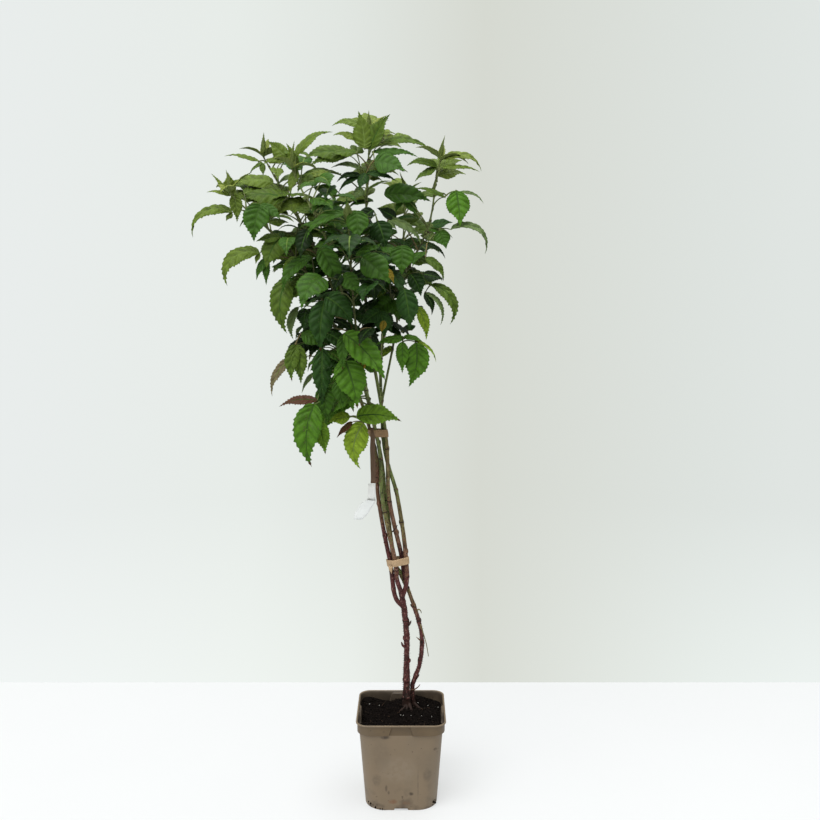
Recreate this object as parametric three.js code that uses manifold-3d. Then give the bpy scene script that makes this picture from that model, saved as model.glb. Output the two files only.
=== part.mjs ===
// A young raspberry plant in a square nursery pot, about a metre tall.
// Millimetres, +Z up, +X to the right and +Y away from the front.
// The origin is the middle of the pot's flat underside.

import * as THREE from "three";
import { mergeVertices } from "three/addons/utils/BufferGeometryUtils.js";
import Module from "manifold-3d";

const wasm = await Module();
wasm.setup();

// Clearance kept between pieces that touch on the real plant
const GAP = 0.3;

// Square pot: half widths, heights and corner radii
const POT = {
  height: 138,
  baseHalf: 54.3,
  bodyHalf: 63.3,
  collarHalf: 65.3,
  lipHalf: 67.2,
  lipHeight: 2.3,
  collarHeight: 15,
  baseCorner: 28,
  topCorner: 16,
  wall: 1.5,
  floor: 2,
  recess: 3,
  footWidth: 5,
  padRadius: 15,
  notch: 19,
  drainRadius: 5,
  drainOffset: 25,
  collarGapTop: 25,
  collarGapFoot: 34,
  cornerSteps: 4,
};

// Compost: its edge, and the low mound round the stems
const SOIL = { edge: 123, mound: 128, moundRadius: 24, clear: GAP };

// The plant's foot on the mound
const FOOT = { x: 8, y: 22 };

// Two stems that rise from the compost
const STEM_MAIN = {
  points: [
    [FOOT.x, FOOT.y, SOIL.mound + GAP],
    [8, 22, 190],
    [8.5, 21, 235],
    [7, 20, 262],
    [4, 20, 290],
    [-1, 18, 316],
  ],
  radii: [5, 4, 4, 4.3, 5, 3.4],
  flare: 2.2,
};
const STEM_SIDE = {
  points: [
    [FOOT.x + 11, FOOT.y + 6, SOIL.mound + GAP],
    [15, 27, 159],
    [21, 26, 177],
    [29, 25, 200],
    [32, 25, 235],
    [27, 27, 265],
    [13, 29, 308],
    [-1, 26, 341],
  ],
  radii: [3.5, 3.3, 3.3, 3.3, 3.1, 3.1, 3, 3],
  flare: 1.4,
};
const FLARE_HEIGHT = 14;

// Two bands of tape gather the canes: centre, spread of the canes and slant.
// Between the bands each cane bows out to its own place at one height.
const TIES = {
  tie_lower: { at: [-5, 19, 365], spread: [12.5, 7], slant: 4 },
  tie_upper: { at: [-34, 5, 563], spread: [11, 6.5], slant: -1.5 },
};
const BAND = { height: 8, thick: 0.8, clear: 0.35, sides: 16 };
const BOW_HEIGHT = 462;

// Canes: where each leaves its stem, its elbow just above, its places round the two bands, its bow,
// the middle and tip of its crown, and the height at which foliage takes over the bare bough
const CANES = {
  left: {
    start: [2, 20, 298], elbow: [-11, 19.8, 311], slots: [180, 180], bow: [-34.5, 11],
    crown: [-130, -13, 796], tip: [-244, -25, 909], split: 612,
    first: 18, seed: 66, phase: 330,
  },
  front_left: {
    start: [-1, 18, 316.3], elbow: [-7, 15.2, 337], slots: [250, 255], bow: [-28, 5.6],
    crown: [-97, -48, 801], tip: [-154, -78, 939], split: 606,
    first: 6, seed: 264, phase: 355,
  },
  back_left: {
    start: [-1, 26, 341.3], slots: [120, 111], bow: [-24, 19],
    crown: [-104, 46, 790], tip: [-192, 62, 956], split: 618,
    first: 51, seed: 7, phase: 120,
  },
  middle: {
    start: [3, 27.6, 332], slots: [60, 350], bow: [-18, 10],
    crown: [-52, 10, 765], tip: [-46, 25, 1003], split: 624,
    first: 49, seed: 29, phase: 80,
  },
  right: {
    start: [1.5, 18.8, 306], elbow: [8, 19, 329], slots: [350, 53], bow: [-5.5, 18],
    crown: [-21, 26, 758], tip: [62, -15, 944], split: 630,
    first: 72, seed: 256, phase: 320,
  },
};

// Side shoots that leave a bough
const SIDE_SHOOTS = {
  back: {
    of: "right", from: 604, crown: [9, 75, 746], tip: [6, 112, 920],
    first: 84, seed: 307, phase: 170,
  },
  front: {
    of: "front_left", from: 600, crown: [-62, -71, 720], tip: [-69, -116, 861],
    first: 32, seed: 343, phase: 285,
  },
};
const CANE_RADIUS = { foot: 3.2, tip: 1.1 };
const SHOOT_RADIUS = { foot: 1.9, tip: 1 };

// Leaves: a stalk with three or five toothed leaflets that arch over
const LEAF = {
  petiole: 44,
  rachis: 19,
  leaflet: 65,
  wide: 0.26,
  firstGap: 34,
  lastGap: 17,
  five: 0.38,
  lowRise: 2,
  highRise: 56,
  bend: 30,
  droop: [50, 100],
  lowDroop: [45, 85],
  lowShrink: 0.08,
  topShrink: 0.36,
  thick: 1.3,
  stalkRadius: [1.5, 1],
  sink: 0.6,
  steps: 12,
  power: 1.15,
};
const TURNS = [0, 35, -35, 70, -70, 110, -110, 150, -150];
const SHRINKS = [1, 0.8];
const GOLDEN_ANGLE = 137.5;

// Leaves that stand out in the outline: height on the shoot, azimuth, rise, stalk, leaflet and droop
const MARKED_LEAVES = [
  ["left", 886, 173, 42, 18, 78, 95],
  ["left", 835, 195, 25, 28, 68, 85],
  ["left", 618, 200, 0, 52, 68, 68],
  ["front", 612, 250, 5, 24, 65, 45],
  ["front", 620, 318, 20, 30, 62, 40],
  ["front_left", 925, 10, 60, 14, 51, 40],
  ["back_left", 940, 180, 66, 14, 52, 40],
  ["middle", 982, 165, 22, 10, 47, 50],
  ["middle", 998, 285, 35, 8, 52, 65],
  ["middle", 960, 5, 50, 12, 70, 50],
  ["right", 935, 10, 60, 8, 58, 60],
  ["right", 905, 325, 40, 12, 68, 103],
  ["right", 850, 355, 35, 30, 66, 98],
  ["right", 775, 345, 31, 36, 59, 60],
  ["right", 696, 320, 30, 34, 66, 60],
];

// The room each shoot keeps to: a grid of cells that its leaves claim
const ROOM = { origin: [-400, -300, 420], cells: [120, 100, 112], cell: 6, crowd: 0.06 };

// Blank tag that hangs from the upper band
const TAG = {
  x: -46,
  y: -4,
  thick: 0.6,
  strip: { top: 573, foot: 488, width: 6.5 },
  label: { width: 11, fold: 464, tail: [-61, -7, 430] },
};

const rad = THREE.MathUtils.degToRad;
const vec = (point) => new THREE.Vector3(...point);

// Materials

const MATERIALS = {
  pot: new THREE.MeshStandardMaterial({ color: 0x81746a, roughness: 0.55, metalness: 0 }),
  soil: new THREE.MeshStandardMaterial({ color: 0x1c1612, roughness: 1, metalness: 0 }),
  bark: new THREE.MeshStandardMaterial({ color: 0x4a2b2a, roughness: 0.75, metalness: 0 }),
  cane: new THREE.MeshStandardMaterial({ color: 0x5d6a35, roughness: 0.6, metalness: 0 }),
  leaf: new THREE.MeshStandardMaterial({ color: 0x3f6a2b, roughness: 0.6, metalness: 0 }),
  tape: new THREE.MeshStandardMaterial({ color: 0xa08567, roughness: 0.5, metalness: 0 }),
  label: new THREE.MeshStandardMaterial({ color: 0xf0f1ef, roughness: 0.6, metalness: 0 }),
};

// Closed bodies from rings of points

// Rings join into one body, closed at each end by a fan to a point, its ring's middle if none
function loft(rings, foot = middle(rings[0]), head = middle(rings[rings.length - 1])) {
  const count = rings[0].length;
  const points = [...rings.flat(), foot, head];
  const footIndex = points.length - 2;
  const headIndex = points.length - 1;
  const index = [];
  for (let r = 0; r + 1 < rings.length; r += 1) {
    for (let k = 0; k < count; k += 1) {
      const a = r * count + k;
      const b = r * count + (k + 1) % count;
      index.push(a, b, b + count, a, b + count, a + count);
    }
  }
  const last = (rings.length - 1) * count;
  for (let k = 0; k < count; k += 1) {
    const next = (k + 1) % count;
    index.push(footIndex, next, k);
    index.push(headIndex, last + k, last + next);
  }
  const geometry = new THREE.BufferGeometry().setFromPoints(points);
  geometry.setIndex(index);
  return geometry;
}

function middle(points) {
  return points.reduce((sum, p) => sum.add(p), vec([0, 0, 0])).divideScalar(points.length);
}

// Solids for joining and cutting

function solid(geometry) {
  const bare = geometry.clone();
  bare.deleteAttribute("normal");
  bare.deleteAttribute("uv");
  const merged = mergeVertices(bare, 1e-4);
  return new wasm.Manifold(new wasm.Mesh({
    numProp: 3,
    vertProperties: merged.attributes.position.array,
    triVerts: new Uint32Array(merged.index.array),
  }));
}

function geometryOf(made) {
  const mesh = made.getMesh();
  const geometry = new THREE.BufferGeometry();
  geometry.setAttribute("position", new THREE.BufferAttribute(new Float32Array(mesh.vertProperties), 3));
  geometry.setIndex(Array.from(mesh.triVerts));
  return geometry;
}

// The largest closed body alone: scraps go, and a sealed hollow is filled
function largest(made) {
  return made.decompose().reduce((best, piece) => (piece.volume() > best.volume() ? piece : best));
}

// Limbs

class Path {
  constructor(points) {
    this.points = points;
    this.lengths = [0];
    for (let k = 1; k < points.length; k += 1) {
      this.lengths.push(this.lengths[k - 1] + points[k].distanceTo(points[k - 1]));
    }
    this.length = this.lengths[points.length - 1];
  }

  static through(points, steps) {
    const curve = new THREE.CatmullRomCurve3(points, false, "catmullrom", 0.5);
    return new Path(curve.getPoints(steps));
  }

  at(distance) {
    const s = Math.min(Math.max(distance, 0), this.length);
    let k = 0;
    while (k < this.points.length - 2 && this.lengths[k + 1] <= s) {
      k += 1;
    }
    const share = (s - this.lengths[k]) / (this.lengths[k + 1] - this.lengths[k]);
    return this.points[k].clone().lerp(this.points[k + 1], share);
  }

  tangent(distance) {
    return this.at(distance + 1).sub(this.at(distance - 1)).normalize();
  }

  fromHeight(z) {
    const k = this.points.findIndex((p) => p.z >= z);
    const share = (z - this.points[k - 1].z) / (this.points[k].z - this.points[k - 1].z);
    return this.lengths[k - 1] + (this.lengths[k] - this.lengths[k - 1]) * share;
  }

  part(from, to) {
    const inner = this.points.filter((p, k) => this.lengths[k] > from + 1 && this.lengths[k] < to - 1);
    return new Path([this.at(from), ...inner, this.at(to)]);
  }

  spaced(step) {
    const count = Math.max(2, Math.floor(this.length / step));
    return Array.from({ length: count + 1 }, (_, k) => this.at(this.length * k / count));
  }
}

// A round limb along a path; flatFoot keeps its first ring level
function limb(path, radius, sides, step, flatFoot = false) {
  const count = Math.max(2, Math.ceil(path.length / step));
  const across = new THREE.Vector3(1, 0, 0);
  const rings = [];
  for (let k = 0; k <= count; k += 1) {
    const s = path.length * k / count;
    const tangent = k === 0 && flatFoot ? new THREE.Vector3(0, 0, 1) : path.tangent(s);
    across.addScaledVector(tangent, -across.dot(tangent)).normalize();
    const along = tangent.clone().cross(across);
    rings.push(ring(path.at(s), across, along, radius(s), sides));
  }
  return loft(rings);
}

function ring(centre, across, along, radius, sides) {
  return Array.from({ length: sides }, (_, k) => {
    const angle = 2 * Math.PI * k / sides;
    return centre.clone()
      .addScaledVector(across, radius * Math.cos(angle))
      .addScaledVector(along, radius * Math.sin(angle));
  });
}

// Pot

function roundedSquare(half, corner, z) {
  const points = [];
  for (let side = 0; side < 4; side += 1) {
    const x = Math.SQRT2 * (half - corner) * Math.cos(rad(45 + 90 * side));
    const y = Math.SQRT2 * (half - corner) * Math.sin(rad(45 + 90 * side));
    for (let k = 0; k <= POT.cornerSteps; k += 1) {
      const angle = rad(90 * (side + k / POT.cornerSteps));
      points.push(vec([x + corner * Math.cos(angle), y + corner * Math.sin(angle), z]));
    }
  }
  return points;
}

// The tapered side of the pot at one height, moved inwards
function potRing(z, inset) {
  const share = z / POT.height;
  const half = POT.baseHalf + (POT.bodyHalf - POT.baseHalf) * share - inset;
  const corner = POT.baseCorner + (POT.topCorner - POT.baseCorner) * share - inset;
  return roundedSquare(half, corner, z);
}

function disc(x, y, radius, z) {
  return ring(vec([x, y, z]), vec([1, 0, 0]), vec([0, 1, 0]), radius, 12);
}

// The part of the collar that each side leaves out at its middle
function collarGap(side, foot, head) {
  const inner = POT.bodyHalf - 8;
  const outer = POT.collarHalf + 4;
  const rings = [[foot - 1, POT.collarGapFoot / 2], [head, POT.collarGapTop / 2]].map(([z, half]) => [
    vec([inner, -half, z]), vec([outer, -half, z]), vec([outer, half, z]), vec([inner, half, z]),
  ]);
  return solid(loft(rings).rotateZ(rad(90 * side)));
}

function potGeometry() {
  const lipFoot = POT.height - POT.lipHeight;
  const collarFoot = lipFoot - POT.collarHeight;
  const shell = solid(loft([potRing(0, 0), potRing(POT.height, 0)]));
  let collar = solid(loft([
    roundedSquare(POT.collarHalf, POT.topCorner, collarFoot),
    roundedSquare(POT.collarHalf + 0.6, POT.topCorner, lipFoot + 0.5),
  ]));
  const lip = solid(loft([
    roundedSquare(POT.lipHalf, POT.topCorner + 2, lipFoot),
    roundedSquare(POT.lipHalf, POT.topCorner + 2, POT.height),
  ]));
  for (let side = 0; side < 4; side += 1) {
    collar = collar.subtract(collarGap(side, collarFoot, lipFoot));
  }
  const cavityFoot = POT.recess + POT.floor;
  const cavity = solid(loft([potRing(cavityFoot, POT.wall), potRing(POT.height + 1, POT.wall)]));
  return geometryOf(shell.add(collar).add(lip).subtract(cavity).subtract(underside()));
}

// A recess between the foot and a pad in the middle, a notch through each side's foot, drains
function underside() {
  const recess = solid(loft([potRing(-1, POT.footWidth), potRing(POT.recess, POT.footWidth)]));
  const pad = solid(loft([disc(0, 0, POT.padRadius, -2), disc(0, 0, POT.padRadius, POT.recess + 1)]));
  let cut = recess.subtract(pad);
  for (let side = 0; side < 4; side += 1) {
    const box = new THREE.BoxGeometry(POT.footWidth * 3, POT.notch, POT.recess * 2);
    box.translate(POT.baseHalf, 0, 0).rotateZ(rad(90 * side));
    const x = POT.drainOffset * (side % 2 === 0 ? 1 : -1);
    const y = POT.drainOffset * (side < 2 ? 1 : -1);
    const drain = loft([disc(x, y, POT.drainRadius, -1), disc(x, y, POT.drainRadius, POT.height / 4)]);
    cut = cut.add(solid(box)).add(solid(drain));
  }
  return cut;
}

function soilGeometry() {
  const foot = POT.recess + POT.floor + SOIL.clear;
  const inset = POT.wall + SOIL.clear;
  const edge = potRing(SOIL.edge, inset);
  const plateau = edge.map((p) => {
    const angle = Math.atan2(p.y, p.x);
    const x = FOOT.x + SOIL.moundRadius * Math.cos(angle);
    const y = FOOT.y + SOIL.moundRadius * Math.sin(angle);
    return vec([x, y, SOIL.mound]);
  });
  const slope = edge.map((p, k) => p.clone().lerp(plateau[k], 0.55).setZ(SOIL.mound - 1.6));
  return loft([potRing(foot, inset), edge, slope, plateau]);
}

// Stems and boughs

function stemLimb(stem, extra = 0) {
  const path = Path.through(stem.points.map(vec), 60);
  const last = stem.radii.length - 1;
  const radius = (s) => {
    const place = last * s / path.length;
    const k = Math.min(Math.floor(place), last - 1);
    const flare = stem.flare * Math.max(0, 1 - s / FLARE_HEIGHT) ** 2;
    return stem.radii[k] + (stem.radii[k + 1] - stem.radii[k]) * (place - k) + flare + extra;
  };
  return limb(path, radius, 8, 11, true);
}

function slotPoint(tie, slot) {
  const x = tie.at[0] + tie.spread[0] * Math.cos(rad(slot));
  const y = tie.at[1] + tie.spread[1] * Math.sin(rad(slot));
  return vec([x, y, tie.at[2]]);
}

function canePath(cane) {
  const lower = slotPoint(TIES.tie_lower, cane.slots[0]);
  const upper = slotPoint(TIES.tie_upper, cane.slots[1]);
  const bow = vec([...cane.bow, BOW_HEIGHT]);
  const whole = Path.through([vec(cane.start), lower, bow, upper, vec(cane.crown), vec(cane.tip)], 60);
  if (!cane.elbow) {
    return whole;
  }
  const foot = Path.through([vec(cane.start), vec(cane.elbow), lower, bow], 18).points.slice(0, 12);
  return new Path([...foot, ...whole.points.slice(12)]);
}

function taper(radius, from, whole, extra = 0) {
  return (s) => radius.foot + (radius.tip - radius.foot) * (from + s) / whole + extra;
}

// Bands: each ring is the outline that clears every cane at its height

function bandGeometry(tie, canePaths) {
  const levels = [-0.5, 0.5].map((share) => share * BAND.height);
  const rings = (offset) => levels.map((level) => bandRing(tie, canePaths, level, offset));
  const outer = solid(loft(rings(BAND.clear + BAND.thick)));
  const reach = [-0.6, 0.6].map((share) => share * BAND.height);
  const inner = solid(loft(reach.map((level) => bandRing(tie, canePaths, level, BAND.clear))));
  return geometryOf(outer.subtract(inner));
}

function bandRing(tie, canePaths, level, offset) {
  const circles = canePaths.map(({ path, radius }) => {
    const s = path.fromHeight(tie.at[2] + level);
    return { centre: path.at(s), radius: radius(s) * 1.04 };
  });
  const support = Array.from({ length: BAND.sides }, (_, k) => {
    const angle = 2 * Math.PI * k / BAND.sides;
    const reach = circles.map((c) => c.centre.x * Math.cos(angle) + c.centre.y * Math.sin(angle) + c.radius);
    return { angle, reach: Math.max(...reach) + offset };
  });
  return support.map((a, k) => {
    const b = support[(k + 1) % BAND.sides];
    const det = Math.sin(b.angle - a.angle);
    const x = (a.reach * Math.sin(b.angle) - b.reach * Math.sin(a.angle)) / det;
    const y = (b.reach * Math.cos(a.angle) - a.reach * Math.cos(b.angle)) / det;
    const z = tie.at[2] + level + Math.tan(rad(tie.slant)) * (x - tie.at[0]);
    return vec([x, y, z]);
  });
}

// Growth rule

// A fixed run of numbers from 0 to 1 for one leaf
function draws(seed, index, count) {
  let state = (seed * 7919 + index * 104729 + 12345) % 4294967296;
  const values = [];
  for (let k = 0; k < count + 3; k += 1) {
    state = (state * 1664525 + 1013904223) % 4294967296;
    if (k > 2) {
      values.push(state / 4294967296);
    }
  }
  return values;
}

function heading(azimuth, elevation) {
  const level = Math.cos(elevation);
  return vec([level * Math.cos(azimuth), level * Math.sin(azimuth), Math.sin(elevation)]);
}

// A line that leaves at one elevation and ends at another
function arc(start, azimuth, from, to, length, steps, power = 1) {
  const points = [start.clone()];
  for (let k = 0; k < steps; k += 1) {
    const elevation = from + (to - from) * ((k + 0.5) / steps) ** power;
    points.push(points[k].clone().addScaledVector(heading(azimuth, elevation), length / steps));
  }
  return points;
}

// Half the width of a leaflet along its midrib, as a share of its widest
function outline(t) {
  return 3.08 * t ** 0.6 * (1 - t) ** 1.15;
}

function leaflet(start, azimuth, elevation, droop, length, width, roll) {
  const midrib = arc(start, azimuth, elevation, elevation - droop, length, LEAF.steps, LEAF.power);
  return { midrib, azimuth, elevation, droop, length, width, roll };
}

// A point of the midrib, with the leaflet's own sideways and upward directions there
function bladeFrame(blade, t) {
  const place = t * LEAF.steps;
  const k = Math.min(Math.floor(place), LEAF.steps - 1);
  const point = blade.midrib[k].clone().lerp(blade.midrib[k + 1], place - k);
  const tangent = heading(blade.azimuth, blade.elevation - blade.droop * t ** LEAF.power);
  const level = vec([-Math.sin(blade.azimuth), Math.cos(blade.azimuth), 0]);
  const normal = tangent.clone().cross(level);
  const side = level.clone().multiplyScalar(Math.cos(blade.roll)).addScaledVector(normal, Math.sin(blade.roll));
  const up = normal.multiplyScalar(Math.cos(blade.roll)).addScaledVector(level, -Math.sin(blade.roll));
  return { point, side, up };
}

// A stalk with a leaflet at its end and one or two pairs beside it
function compoundLeaf(base, azimuth, rise, sizes, droop, five, r) {
  const level = rise - rad(LEAF.bend);
  const petiole = arc(base, azimuth, rise, level, sizes.petiole, 3);
  const rachis = arc(petiole[3], azimuth, level, level - rad(12), sizes.rachis, 2);
  const width = LEAF.wide * sizes.leaflet * (0.9 + 0.25 * r[9]);
  const blades = [leaflet(rachis[2], azimuth + rad(16) * (r[7] - 0.5), level - rad(12),
    droop.end, sizes.leaflet, width, rad(34) * (r[10] - 0.5))];
  const pairs = five ? [[petiole[3], 70, 0.7], [rachis[1], 55, 0.86]] : [[petiole[3], 62, 0.8]];
  let k = 11;
  for (const [at, fan, scale] of pairs) {
    for (const hand of [1, -1]) {
      const length = sizes.leaflet * scale * (0.92 + 0.16 * r[k]);
      const sideDroop = 0.8 * (droop.least + (droop.most - droop.least) * r[k + 2]);
      blades.push(leaflet(at, azimuth + hand * rad(fan + 16 * (r[k + 1] - 0.5)), level - rad(4),
        sideDroop, length, LEAF.wide * length * 1.04, hand * rad(-14 + 24 * (r[k + 2] - 0.5))));
      k += 3;
    }
  }
  return { stalk: [...petiole, ...rachis.slice(1)], blades };
}

function growLeaf(base, share, shoot, index, turn, shrink) {
  const r = draws(shoot.seed, index, 24);
  const low = Math.max(0, 1 - share / 0.35);
  const top = Math.max(0, (share - 0.7) / 0.3);
  const size = (1 - LEAF.lowShrink * low - LEAF.topShrink * top) * (0.86 + 0.28 * r[0]) * shrink;
  const azimuth = rad(shoot.phase + index * GOLDEN_ANGLE + 24 * (r[1] - 0.5) + turn);
  const rise = rad(LEAF.lowRise + LEAF.highRise * share + 14 * (r[2] - 0.5) + 12 * top);
  const five = size > 0.75 && r[5] < LEAF.five;
  const sizes = {
    petiole: LEAF.petiole * size * (0.75 + 0.5 * r[3]),
    rachis: LEAF.rachis * size * (0.85 + 0.3 * r[4]) * (five ? 1.7 : 1),
    leaflet: LEAF.leaflet * size * (0.88 + 0.24 * r[6]),
  };
  const [least, most] = share > 0.25 ? LEAF.droop : LEAF.lowDroop;
  const soft = rad(1 - 0.5 * top);
  const droop = { end: (least + (most - least) * r[8]) * soft, least: least * soft, most: most * soft };
  return compoundLeaf(base, azimuth, rise, sizes, droop, five, r);
}

function markedLeaf(shoot, row, index) {
  const [, z, azimuth, rise, petiole, length, droop] = row;
  const sizes = { petiole, rachis: 0.24 * length, leaflet: length };
  const angles = { end: rad(droop), least: 0.8 * rad(droop), most: 1.2 * rad(droop) };
  const base = shoot.path.at(shoot.path.fromHeight(z));
  return compoundLeaf(base, rad(azimuth), rad(rise), sizes, angles, false, draws(index + 1, 500, 24));
}

// Young leaflets that stand up at the tip of a shoot
function tipSpray(path, seed) {
  const r = draws(seed, 977, 16);
  const tip = path.at(path.length);
  const rises = [86, 62, 48, 34];
  const droops = [6, 30, 55, 75];
  const lengths = [34, 40, 44, 48];
  const widths = [0.11, 0.15, 0.19, 0.21];
  const blades = rises.map((rise, k) => {
    const azimuth = k * rad(GOLDEN_ANGLE) + 6.28 * r[0] + 0.6 * r[k];
    const length = lengths[k] * (0.85 + 0.3 * r[8 + k]);
    return leaflet(tip, azimuth, rad(rise - 10 * r[4 + k]), rad(droops[k]), length, length * widths[k], 0);
  });
  return { stalk: [path.at(path.length - 4), tip], blades };
}

// Points all over a leaflet, to test and claim its room
function sheetPoints(blade) {
  const points = [];
  for (let k = 1; k <= 14; k += 1) {
    const { point, side } = bladeFrame(blade, k / 14);
    for (const across of [-1, -0.67, -0.33, 0, 0.33, 0.67, 1]) {
      points.push(point.clone().addScaledVector(side, across * blade.width * outline(k / 14)));
    }
  }
  return points;
}

// Every cell holds the marks of those in it and of those beside it
class Room {
  constructor() {
    const [nx, ny, nz] = ROOM.cells;
    this.inside = new Int32Array(nx * ny * nz);
    this.beside = new Int32Array(nx * ny * nz);
  }

  cell(point) {
    const place = (value, axis) => {
      const k = Math.floor((value - ROOM.origin[axis]) / ROOM.cell);
      return Math.min(Math.max(k, 1), ROOM.cells[axis] - 2);
    };
    return [place(point.x, 0), place(point.y, 1), place(point.z, 2)];
  }

  index(x, y, z) {
    return (x * ROOM.cells[1] + y) * ROOM.cells[2] + z;
  }

  claim(points, mark) {
    for (const point of points) {
      const [x, y, z] = this.cell(point);
      this.inside[this.index(x, y, z)] |= mark;
      for (let dx = -1; dx <= 1; dx += 1) {
        for (let dy = -1; dy <= 1; dy += 1) {
          for (let dz = -1; dz <= 1; dz += 1) {
            this.beside[this.index(x + dx, y + dy, z + dz)] |= mark;
          }
        }
      }
    }
  }

  taken(points, allowed) {
    return points.some((p) => (this.beside[this.index(...this.cell(p))] & ~allowed) !== 0);
  }

  share(points, mark) {
    const own = points.filter((p) => (this.inside[this.index(...this.cell(p))] & mark) !== 0);
    return own.length / points.length;
  }
}

// The first leaf of the rule that fits the room left at one place on a shoot
function fitLeaf(room, shoot, base, share, index) {
  for (const shrink of SHRINKS) {
    for (const turn of TURNS) {
      const leaf = growLeaf(base, share, shoot, index, turn, shrink);
      const sheets = leaf.blades.flatMap(sheetPoints);
      const stalk = leaf.stalk.slice(1);
      const clear = !room.taken(sheets, shoot.mark) && !room.taken(stalk, shoot.mark | shoot.stemMark);
      if (clear && room.share(sheets, shoot.mark) <= ROOM.crowd) {
        room.claim([...sheets, ...stalk], shoot.mark);
        return leaf;
      }
    }
  }
  return null;
}

// A marked leaf goes without a side leaflet that has no room
function addMarkedLeaf(room, shoots, row, index) {
  const shoot = shoots.find((one) => one.name === row[0]);
  const own = shoot.mark | shoot.stemMark;
  const leaf = markedLeaf(shoot, row, index);
  const stalk = leaf.stalk.slice(1);
  const free = leaf.blades.filter((blade) => !room.taken(sheetPoints(blade), own));
  if (free[0] !== leaf.blades[0] || room.taken(stalk, own)) {
    return;
  }
  room.claim([...free.flatMap(sheetPoints), ...stalk], shoot.mark);
  shoot.leaves.push({ stalk: leaf.stalk, blades: free });
}

// All shoots grow together, one leaf each in turn
function growCrown(shoots, boughPaths) {
  const room = new Room();
  boughPaths.forEach((path) => room.claim(path.spaced(4), 1));
  shoots.forEach((shoot, k) => {
    shoot.mark = 2 << k;
    shoot.stemMark = 8192 << k;
    room.claim(shoot.path.spaced(4), shoot.stemMark);
  });
  for (const shoot of shoots) {
    const spray = tipSpray(shoot.path, shoot.seed);
    room.claim(spray.blades.flatMap(sheetPoints), shoot.mark);
    shoot.leaves = [spray];
    shoot.reached = shoot.first;
  }
  MARKED_LEAVES.forEach((row, k) => addMarkedLeaf(room, shoots, row, k));
  const growing = (shoot) => shoot.reached < shoot.path.length - 12;
  for (let index = 0; shoots.some(growing); index += 1) {
    for (const shoot of shoots.filter(growing)) {
      const share = shoot.reached / shoot.path.length;
      const leaf = fitLeaf(room, shoot, shoot.path.at(shoot.reached), share, index);
      if (leaf) {
        shoot.leaves.push(leaf);
      }
      shoot.reached += LEAF.firstGap + (LEAF.lastGap - LEAF.firstGap) * share;
    }
  }
}

// Foliage solids

// Cross-sections of a leaflet, flat below with a ridge along the midrib
function bladeRings(blade, places) {
  return places.map((t) => {
    const { point, side, up } = bladeFrame(blade, t);
    return wedge(point, side, up, blade.width * outline(t), LEAF.thick);
  });
}

function wedge(point, side, up, reach, rise) {
  return [
    point.clone().addScaledVector(side, reach),
    point.clone().addScaledVector(up, rise),
    point.clone().addScaledVector(side, -reach),
  ];
}

// A side leaflet, its root sunk into the stalk
function sideBladeBody(blade) {
  const [base, next] = blade.midrib;
  const root = base.clone().lerp(next, -LEAF.sink / base.distanceTo(next));
  return solid(loft(bladeRings(blade, [0.42]), root, blade.midrib[LEAF.steps]));
}

// The stalk and the leaflet at its end, in one
function stalkBody(points, blade) {
  const [thick, thin] = LEAF.stalkRadius;
  const side = vec([-Math.sin(blade.azimuth), Math.cos(blade.azimuth), 0]);
  const kept = points.length > 2 ? [0, 3, points.length - 1] : [0, 1];
  const rings = kept.map((k, n) => {
    const tangent = points[Math.min(k + 1, points.length - 1)].clone().sub(points[Math.max(k - 1, 0)]);
    const up = tangent.normalize().cross(side);
    const reach = thick + (thin - thick) * n / kept.length;
    return wedge(points[k].clone().addScaledVector(up, -reach / 2), side, up, reach, reach * 1.6);
  });
  return solid(loft([...rings, ...bladeRings(blade, [1 / 3, 2 / 3])], middle(rings[0]), blade.midrib[LEAF.steps]));
}

function foliageGeometry(shoot, cuts) {
  const stem = limb(shoot.path, shoot.radius, 5, 36);
  const parts = [solid(stem)];
  for (const leaf of shoot.leaves) {
    const [end, ...sides] = leaf.blades;
    parts.push(stalkBody(leaf.stalk, end), ...sides.map(sideBladeBody));
  }
  let made = wasm.Manifold.union(parts);
  for (const cut of cuts) {
    made = made.subtract(cut);
  }
  return geometryOf(largest(made.simplify(0.05)));
}

// Tag

// A thin strip of even width along a path, facing the front
function stripGeometry(points, width) {
  const face = (p) => [[-1, -1], [1, -1], [1, 1], [-1, 1]].map(
    ([x, y]) => vec([p.x + x * width / 2, p.y + y * TAG.thick / 2, p.z]),
  );
  return loft(points.map(face));
}

// Assembly

const plant = new THREE.Group();

function place(name, geometry, material) {
  const mesh = new THREE.Mesh(geometry, material);
  mesh.name = name;
  mesh.geometry.computeVertexNormals();
  plant.add(mesh);
}

place("pot", potGeometry(), MATERIALS.pot);
place("soil", soilGeometry(), MATERIALS.soil);

place("stem_main", stemLimb(STEM_MAIN), MATERIALS.bark);
place("stem_side", stemLimb(STEM_SIDE), MATERIALS.bark);

const boughs = [];
const shoots = [];
const taken = [solid(stemLimb(STEM_MAIN, GAP)), solid(stemLimb(STEM_SIDE, GAP))];
for (const [name, cane] of Object.entries(CANES)) {
  const whole = canePath(cane);
  const end = whole.fromHeight(cane.split);
  const path = whole.part(0, end);
  const clear = solid(limb(whole, taper(CANE_RADIUS, 0, whole.length, GAP), 6, 24));
  const bough = taken.reduce((made, cut) => made.subtract(cut),
    solid(limb(path, taper(CANE_RADIUS, 0, whole.length), 6, 24)));
  place(`bough_${name}`, geometryOf(largest(bough)), MATERIALS.cane);
  taken.push(clear);
  boughs.push({ name, path, whole, clear, radius: taper(CANE_RADIUS, 0, whole.length) });
  shoots.push({
    ...cane, name, path: whole.part(end + GAP, whole.length),
    radius: taper(CANE_RADIUS, end, whole.length), cuts: [],
  });
}

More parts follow.
